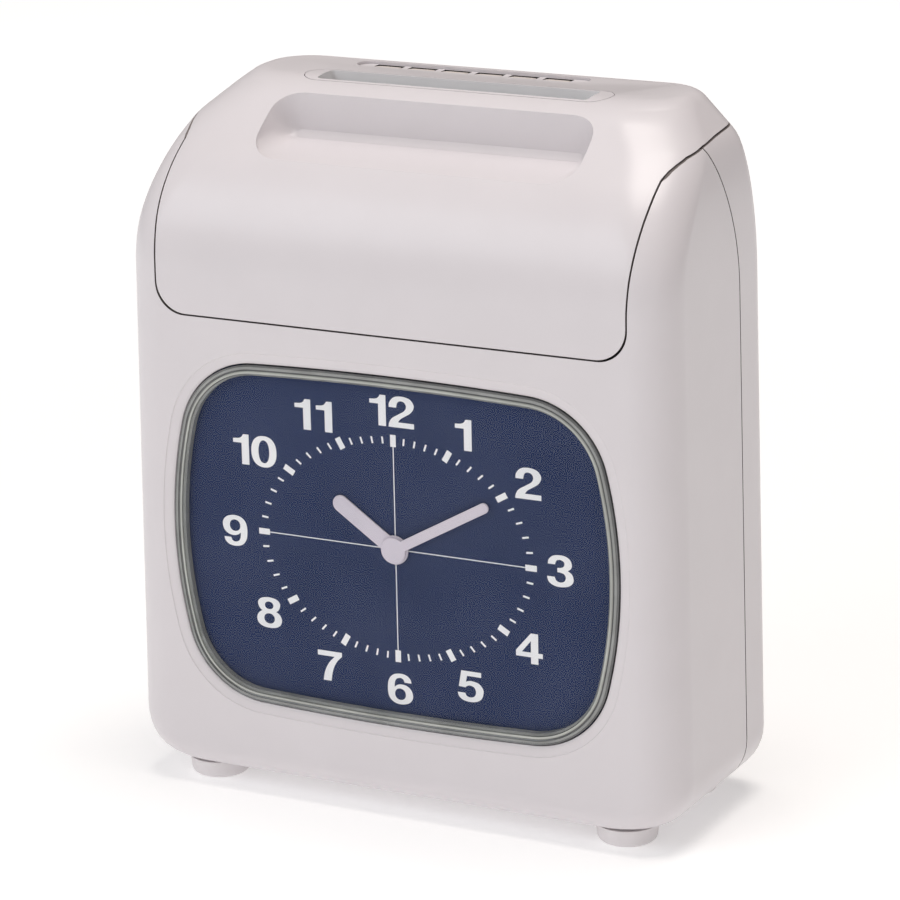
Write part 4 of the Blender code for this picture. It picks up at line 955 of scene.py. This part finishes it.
# Numerals: closed outlines of (x, y, is_corner) points, one unit high, or ready loops of (x, y)
C, S = True, False
SIX = [
    (0.665, 0.735, C), (0.635, 0.87, S), (0.53, 0.98, S), (0.37, 1.015, S), (0.18, 0.955, S),
    (0.06, 0.77, S), (0.025, 0.49, S), (0.055, 0.21, S), (0.175, 0.04, S), (0.36, -0.018, S),
    (0.56, 0.035, S), (0.675, 0.17, S), (0.7, 0.33, S), (0.66, 0.5, S), (0.555, 0.62, S),
    (0.41, 0.66, S), (0.29, 0.625, S), (0.21, 0.545, C), (0.222, 0.72, S), (0.272, 0.83, S),
    (0.37, 0.872, S), (0.445, 0.835, S), (0.48, 0.735, C),
]
DIGITS = {
    "0": [oval(0.36, 0.498, 0.345, 0.518, 2.3), oval(0.36, 0.498, 0.148, 0.378, 2.2)],
    "1": [
        [
            (0.47, 0.0, C), (0.47, 1.0, C), (0.315, 1.0, C), (0.27, 0.905, S), (0.19, 0.855, S),
            (0.04, 0.84, C), (0.04, 0.705, C), (0.27, 0.705, C), (0.27, 0.0, C),
        ],
    ],
    "2": [
        [
            (0.035, 0.64, C), (0.05, 0.8, S), (0.165, 0.965, S), (0.36, 1.015, S), (0.575, 0.96, S),
            (0.685, 0.8, S), (0.68, 0.65, S), (0.6, 0.505, S), (0.46, 0.385, S), (0.34, 0.285, S),
            (0.27, 0.17, C), (0.69, 0.17, C), (0.69, 0.0, C), (0.02, 0.0, C), (0.04, 0.15, S),
            (0.12, 0.295, S), (0.3, 0.44, S), (0.44, 0.56, S), (0.49, 0.695, S), (0.45, 0.82, S),
            (0.355, 0.862, S), (0.265, 0.81, S), (0.23, 0.64, C),
        ],
    ],
    "3": [
        [
            (0.225, 0.7, C), (0.265, 0.825, S), (0.355, 0.864, S), (0.445, 0.82, S), (0.468, 0.735, S),
            (0.435, 0.645, S), (0.355, 0.605, S), (0.285, 0.6, C), (0.285, 0.455, C), (0.375, 0.45, S),
            (0.465, 0.405, S), (0.5, 0.3, S), (0.46, 0.18, S), (0.355, 0.133, S), (0.255, 0.18, S),
            (0.215, 0.295, C), (0.02, 0.295, C), (0.06, 0.12, S), (0.185, 0.015, S), (0.355, -0.018, S),
            (0.56, 0.03, S), (0.675, 0.15, S), (0.698, 0.29, S), (0.655, 0.44, S), (0.55, 0.53, C),
            (0.635, 0.62, S), (0.658, 0.74, S), (0.61, 0.9, S), (0.5, 0.99, S), (0.355, 1.015, S),
            (0.18, 0.975, S), (0.07, 0.855, S), (0.04, 0.7, C),
        ],
    ],
    "4": [
        [
            (0.4, 0.0), (0.59, 0.0), (0.59, 0.215), (0.705, 0.215), (0.705, 0.37), (0.59, 0.37),
            (0.59, 1.0), (0.4, 1.0), (0.01, 0.4), (0.01, 0.215), (0.4, 0.215),
        ],
        [(0.4, 0.37), (0.165, 0.37), (0.4, 0.75)],
    ],
    "5": [
        [
            (0.12, 1.0, C), (0.645, 1.0, C), (0.645, 0.84, C), (0.27, 0.84, C), (0.24, 0.64, C),
            (0.32, 0.675, S), (0.41, 0.683, S), (0.58, 0.63, S), (0.685, 0.48, S), (0.7, 0.325, S),
            (0.65, 0.135, S), (0.525, 0.02, S), (0.345, -0.018, S), (0.165, 0.018, S), (0.055, 0.12, S),
            (0.02, 0.265, C), (0.218, 0.265, C), (0.258, 0.17, S), (0.35, 0.133, S), (0.46, 0.185, S),
            (0.502, 0.33, S), (0.46, 0.48, S), (0.35, 0.53, S), (0.275, 0.505, S), (0.228, 0.45, C),
            (0.048, 0.462, C),
        ],
    ],
    "6": [SIX, oval(0.362, 0.322, 0.146, 0.192, 2.1)],
    "7": [
        [
            (0.03, 1.0, C), (0.69, 1.0, C), (0.69, 0.86, C), (0.545, 0.66, S), (0.44, 0.38, S),
            (0.385, 0.0, C), (0.17, 0.0, C), (0.225, 0.33, S), (0.335, 0.61, S), (0.49, 0.83, C),
            (0.03, 0.83, C),
        ],
    ],
    "8": [
        [
            (0.36, 1.015, S), (0.56, 0.97, S), (0.655, 0.86, S), (0.66, 0.74, S), (0.62, 0.62, S),
            (0.55, 0.548, C), (0.65, 0.455, S), (0.702, 0.3, S), (0.67, 0.13, S), (0.55, 0.018, S),
            (0.36, -0.018, S), (0.17, 0.018, S), (0.05, 0.13, S), (0.018, 0.3, S), (0.07, 0.455, S),
            (0.17, 0.548, C), (0.1, 0.62, S), (0.06, 0.74, S), (0.065, 0.86, S), (0.16, 0.97, S),
        ],
        oval(0.36, 0.742, 0.118, 0.128, 2.1),
        oval(0.36, 0.298, 0.146, 0.172, 2.1),
    ],
    "9": [
        [(0.72 - x, 1.0 - y) for x, y in smooth_through(SIX)],
        [(0.72 - x, 1.0 - y) for x, y in oval(0.362, 0.322, 0.146, 0.192, 2.1)],
    ],
}
USUAL_ADVANCE = 0.74
ADVANCE = {"1": 0.52, "11": 0.58}
DIGIT_HEIGHT = 0.0107
DIGIT_WIDTH = 0.0142
NUMERALS = {
    "12": (-0.2, 48.2), "1": (26.4, 43.1), "2": (50.0, 29.1), "3": (61.3, 0.4), "4": (49.5, -28.2),
    "5": (27.3, -44.9), "6": (0.5, -49.7), "7": (-26.5, -45.3), "8": (-49.8, -29.2), "9": (-62.2, -1.2),
    "10": (-53.3, 28.4), "11": (-30.1, 43.5),
}
MARK_Y = (DIAL_Y - 0.00006, DIAL_Y - 0.00001)


def build_numerals():
    for text, (x, z) in NUMERALS.items():
        loops = []
        cursor = 0.0
        for character in text:
            for outline in DIGITS[character]:
                loop = smooth_through(outline) if len(outline[0]) == 3 else outline
                loops.append([(cursor + u, v) for u, v in loop])
            cursor += ADVANCE.get(text, ADVANCE.get(character, USUAL_ADVANCE))
        low = min(u for loop in loops for u, v in loop)
        high = max(u for loop in loops for u, v in loop)
        middle = (low + high) / 2
        placed = []
        for loop in loops:
            placed.append(
                [
                    (x / 1000 + (u - middle) * DIGIT_WIDTH, DIAL_Z + z / 1000 + (v - 0.5) * DIGIT_HEIGHT)
                    for u, v in loop
                ]
            )
        numeral = plate("numeral", placed, "XZ", MARK_Y)
        add(f"numeral_{text}", settle(numeral), "case", "dial_print")


def build_track():
    """Hour and minute ticks on an ellipse, each pointing at the centre, and the cross of hairlines."""
    loops = []
    for minute in range(60):
        angle = 2 * math.pi * minute / 60
        ahead = Vector((math.sin(angle), math.cos(angle)))
        left = Vector((-ahead.y, ahead.x))
        radius = 1 / math.hypot(ahead.x / TRACK[0], ahead.y / TRACK[1])
        half_long, half_wide = MINUTE_TICK if minute % 5 else HOUR_TICK
        centre = ahead * radius + Vector((0, DIAL_Z))
        corners = []
        for a, b in ((-1, -1), (1, -1), (1, 1), (-1, 1)):
            spot = centre + ahead * half_long * a + left * half_wide * b
            corners.append((spot.x, spot.y))
        loops.append(corners)
    thin = HAIRLINE_HALF
    wide, tall = (reach - HOUR_TICK[0] for reach in TRACK)
    hairlines = (
        ((thin, wide), (-thin, thin)),
        ((-wide, -thin), (-thin, thin)),
        ((-thin, thin), (0.0, tall)),
        ((-thin, thin), (-tall, 0.0)),
    )
    for u, v in hairlines:
        loops.append([(a, b + DIAL_Z) for a, b in rectangle(u, v)])
    bm = bmesh.new()
    for loop in loops:
        faces = []
        for y in MARK_Y:
            faces.append([bm.verts.new((u, y, v)) for u, v in loop])
        for a, b in zip(range(4), (1, 2, 3, 0)):
            bm.faces.new((faces[0][a], faces[0][b], faces[1][b], faces[1][a]))
        bm.faces.new(faces[0])
        bm.faces.new(list(reversed(faces[1])))
    add("minute_track", mesh_from(bm, "minute_track", smooth=False), "case", "dial_print")


def build_hand(name, size, degrees, across, body, cad_node):
    """A bar with round ends and a round hub."""
    length, width, hub = size
    angle = math.radians(degrees)
    ahead = Vector((math.sin(angle), math.cos(angle)))
    left = Vector((-ahead.y, ahead.x))
    centre = Vector((0, DIAL_Z))
    reach = length - width / 2
    loop = []
    for i in range(17):
        turn = math.pi / 2 - math.pi * i / 16
        spot = centre + ahead * (reach + width / 2 * math.cos(turn)) + left * width / 2 * math.sin(turn)
        loop.append((spot.x, spot.y))
    start = math.asin(width / 2 / hub)
    for i in range(33):
        turn = start + (2 * math.pi - 2 * start) * i / 32
        spot = centre + ahead * hub * math.cos(turn) - left * hub * math.sin(turn)
        loop.append((spot.x, spot.y))
    hand = plate(name, [loop], "XZ", across, bevel=0.00018)
    add(name, settle(hand), body, "hand_paint", [cad_node])


# The lens rim's bands are opaque strips. Their light, mid and dark tones are painted light and shade for a
# clear acrylic skirt, and the outer dark line is a painted shadow in the gap to the case.
RIM_BACK_Y = -0.0385
RIM = (
    (
        "lens_rim_edge",
        "rim_painted_shadow",
        ((0.0, RIM_BACK_Y), (0.0, -0.0412), (-0.0002, -0.0414), (-0.0004, -0.0413), (-0.0004, RIM_BACK_Y)),
    ),
    (
        "lens_rim_outer",
        "rim_painted_half_shade",
        (
            (-0.0004, RIM_BACK_Y), (-0.0004, -0.0413), (-0.0006, -0.0416), (-0.0014, -0.0416),
            (-0.0016, RIM_BACK_Y),
        ),
    ),
    (
        "lens_rim_groove",
        "rim_painted_shadow",
        (
            (-0.0015, RIM_BACK_Y), (-0.0015, -0.0413), (-0.0018, -0.0411), (-0.0020, -0.0413),
            (-0.0020, RIM_BACK_Y),
        ),
    ),
    (
        "lens_rim_ridge",
        "rim_painted_lit_band",
        (
            (-0.0020, RIM_BACK_Y), (-0.0020, -0.0413), (-0.0023, -0.0416), (-0.0029, -0.0416),
            (-0.0031, RIM_BACK_Y),
        ),
    ),
    (
        "lens_rim_inner",
        "rim_painted_half_shade",
        ((-0.0031, RIM_BACK_Y), (-0.0031, -0.0411), (-0.0038, -0.0404), (-0.0040, RIM_BACK_Y)),
    ),
)


def build_dial():
    for name, look, section in RIM:
        sweep_rim(name, section, look)
    window = plate("lens_window", [lens_outline(-0.0031, 24)], "XZ", (LENS_FRONT_Y, -0.0404), bevel=0.0003)
    add("lens_window", settle(window), "case", "clear_acrylic", ["dial_lens"])
    build_numerals()
    build_track()
    build_hand("minute_bar", MINUTE_HAND, MINUTE_ANGLE, (-0.0399, -0.0392), "minute_group", "minute_hand")
    build_hand("hour_bar", HOUR_HAND, HOUR_ANGLE, (-0.0389, -0.0383), "hour_group", "hour_hand")


def build_feet():
    names = ("foot_front_left", "foot_front_right", "foot_rear_left", "foot_rear_right")
    profile = [
        (0.0086, 0.0), (0.0092, 0.0002), (0.0099, 0.0008), (0.0103, 0.0018), (0.0105, 0.0036),
        (0.0108, 0.0062),
    ]
    steps = 56
    for name, (x, y) in zip(names, FOOT_PLACES):
        loops = []
        for radius, height in profile:
            loops.append([(x + a, y + b, DATUM + height) for a, b in circle((0, 0), radius, steps)])
        mesh = loft_mesh(name, loops)
        add(name.replace("foot", "rubber_foot"), mesh, "case", "foot_rubber", [name])


def seam_tree(make_zone, spread):
    """A search tree of a zone's surface."""
    before = set(bpy.data.objects)
    mesh = worked(make_zone("zone", spread), before)
    return BVHTree.FromPolygons([v.co for v in mesh.vertices], [tuple(p.vertices) for p in mesh.polygons])


def darken_seams(piece, trees):
    """Gives the faces inside the gaps between the shells the look of a shaded gap."""
    mesh = piece.data
    mesh.materials.append(LOOKS["seam_shade"])
    rise = Vector((0, 0, DATUM))
    for polygon in mesh.polygons:
        for tree in trees:
            _, normal, _, distance = tree.find_nearest(polygon.center + rise)
            if distance < SEAM_FACE_REACH and abs(normal.dot(polygon.normal)) > 0.98:
                polygon.material_index = 1


def paint_cad_nodes():
    """Every CAD node that still shows gets the procedural look of its own slot."""
    slots = {part["node"]: part["material_slot"] for part in frame["record"]["subparts"]}
    for name, node in frame["nodes"].items():
        node.data.materials.clear()
        node.data.materials.append(LOOKS[slots[name]])


# Stage


def build_stage():
    """A pale studio floor that also glows a little, as a lit white sweep does."""
    bm = bmesh.new()
    bmesh.ops.create_grid(bm, x_segments=2, y_segments=2, size=3.0)
    mesh = bpy.data.meshes.new("floor")
    bm.to_mesh(mesh)
    bm.free()
    floor = bpy.data.objects.new("floor", mesh)
    bpy.context.scene.collection.objects.link(floor)
    look = surface("floor_look", (0.90, 0.90, 0.90), 0.7, vary=0.004, patch_scale=2.0, specular=0.1)
    shader = look.node_tree.nodes["Principled BSDF"]
    shader.inputs["Emission Color"].default_value = (1.0, 0.99, 0.985, 1)
    nodes, links = look.node_tree.nodes, look.node_tree.links
    place = nodes.new("ShaderNodeTexCoord")
    distance = nodes.new("ShaderNodeVectorMath")
    distance.operation = "LENGTH"
    links.new(place.outputs["Object"], distance.inputs[0])
    glow = nodes.new("ShaderNodeMapRange")
    glow.interpolation_type = "SMOOTHSTEP"
    glow.inputs["From Min"].default_value, glow.inputs["From Max"].default_value = GLOW_REACH
    glow.inputs["To Min"].default_value, glow.inputs["To Max"].default_value = FLOOR_GLOW
    links.new(distance.outputs["Value"], glow.inputs["Value"])
    links.new(glow.outputs["Result"], shader.inputs["Emission Strength"])
    floor.data.materials.append(look)


def area_light(name, place, target, size, power, colour=(1, 1, 1)):
    data = bpy.data.lights.new(name, "AREA")
    data.shape = "RECTANGLE"
    data.size, data.size_y = size
    data.energy = power
    data.color = colour
    lamp = bpy.data.objects.new(name, data)
    bpy.context.scene.collection.objects.link(lamp)
    lamp.location = place
    lamp.rotation_euler = (Vector(target) - Vector(place)).to_track_quat("-Z", "Y").to_euler()


def build_lights():
    """A studio room that is brightest in front, with a key lamp, a strip at the side and a lamp above."""
    world = bpy.data.worlds.new("studio")
    bpy.context.scene.world = world
    world.use_nodes = True
    nodes, links = world.node_tree.nodes, world.node_tree.links
    place = nodes.new("ShaderNodeTexCoord")
    facing = nodes.new("ShaderNodeVectorMath")
    facing.operation = "DOT_PRODUCT"
    facing.inputs[1].default_value = Vector(ROOM_BRIGHT_SIDE).normalized()
    links.new(place.outputs["Generated"], facing.inputs[0])
    strength = nodes.new("ShaderNodeMapRange")
    strength.inputs["From Min"].default_value = -1.0
    strength.inputs["To Min"].default_value, strength.inputs["To Max"].default_value = ROOM_LEVELS
    links.new(facing.outputs["Value"], strength.inputs["Value"])
    shade = nodes["Background"]
    shade.inputs["Color"].default_value = ROOM_COLOUR
    links.new(strength.outputs["Result"], shade.inputs["Strength"])
    middle = (0, 0, 0.13)
    for name, (spot, size, power, colour) in LAMPS.items():
        area_light(name, spot, middle, size, power, colour)
    bpy.context.scene.view_settings.view_transform = "Standard"


def build_camera():
    turn, tilt, roll = (math.radians(v) for v in (CAMERA_TURN, CAMERA_TILT, CAMERA_ROLL))
    back = Vector((math.sin(turn) * math.cos(tilt), -math.cos(turn) * math.cos(tilt), math.sin(tilt)))
    right = Vector((math.cos(turn), math.sin(turn), 0))
    up = right.cross(-back)
    right, up = right * math.cos(roll) + up * math.sin(roll), up * math.cos(roll) - right * math.sin(roll)
    data = bpy.data.cameras.new("camera")
    data.lens = CAMERA_LENS
    data.sensor_width = SENSOR
    data.clip_end = 20.0
    camera = bpy.data.objects.new("camera", data)
    bpy.context.scene.collection.objects.link(camera)
    camera.matrix_world = Matrix.Translation(CAMERA_AT) @ Matrix((right, up, back)).transposed().to_4x4()
    bpy.context.scene.camera = camera


build_camera()
build_lights()
build_stage()
paint_cad_nodes()
outer_field = surface_normals()
mouth = seam_tree(cover_zone, SEAM)
darken_seams(build_front_case(outer_field), [mouth, seam_tree(rear_zone, SEAM)])
darken_seams(build_rear_case(outer_field), [mouth, seam_tree(rear_zone, 0.0)])
darken_seams(build_cover(outer_field), [seam_tree(cover_zone, 0.0)])
build_slot_and_buttons()
build_dial()
build_feet()
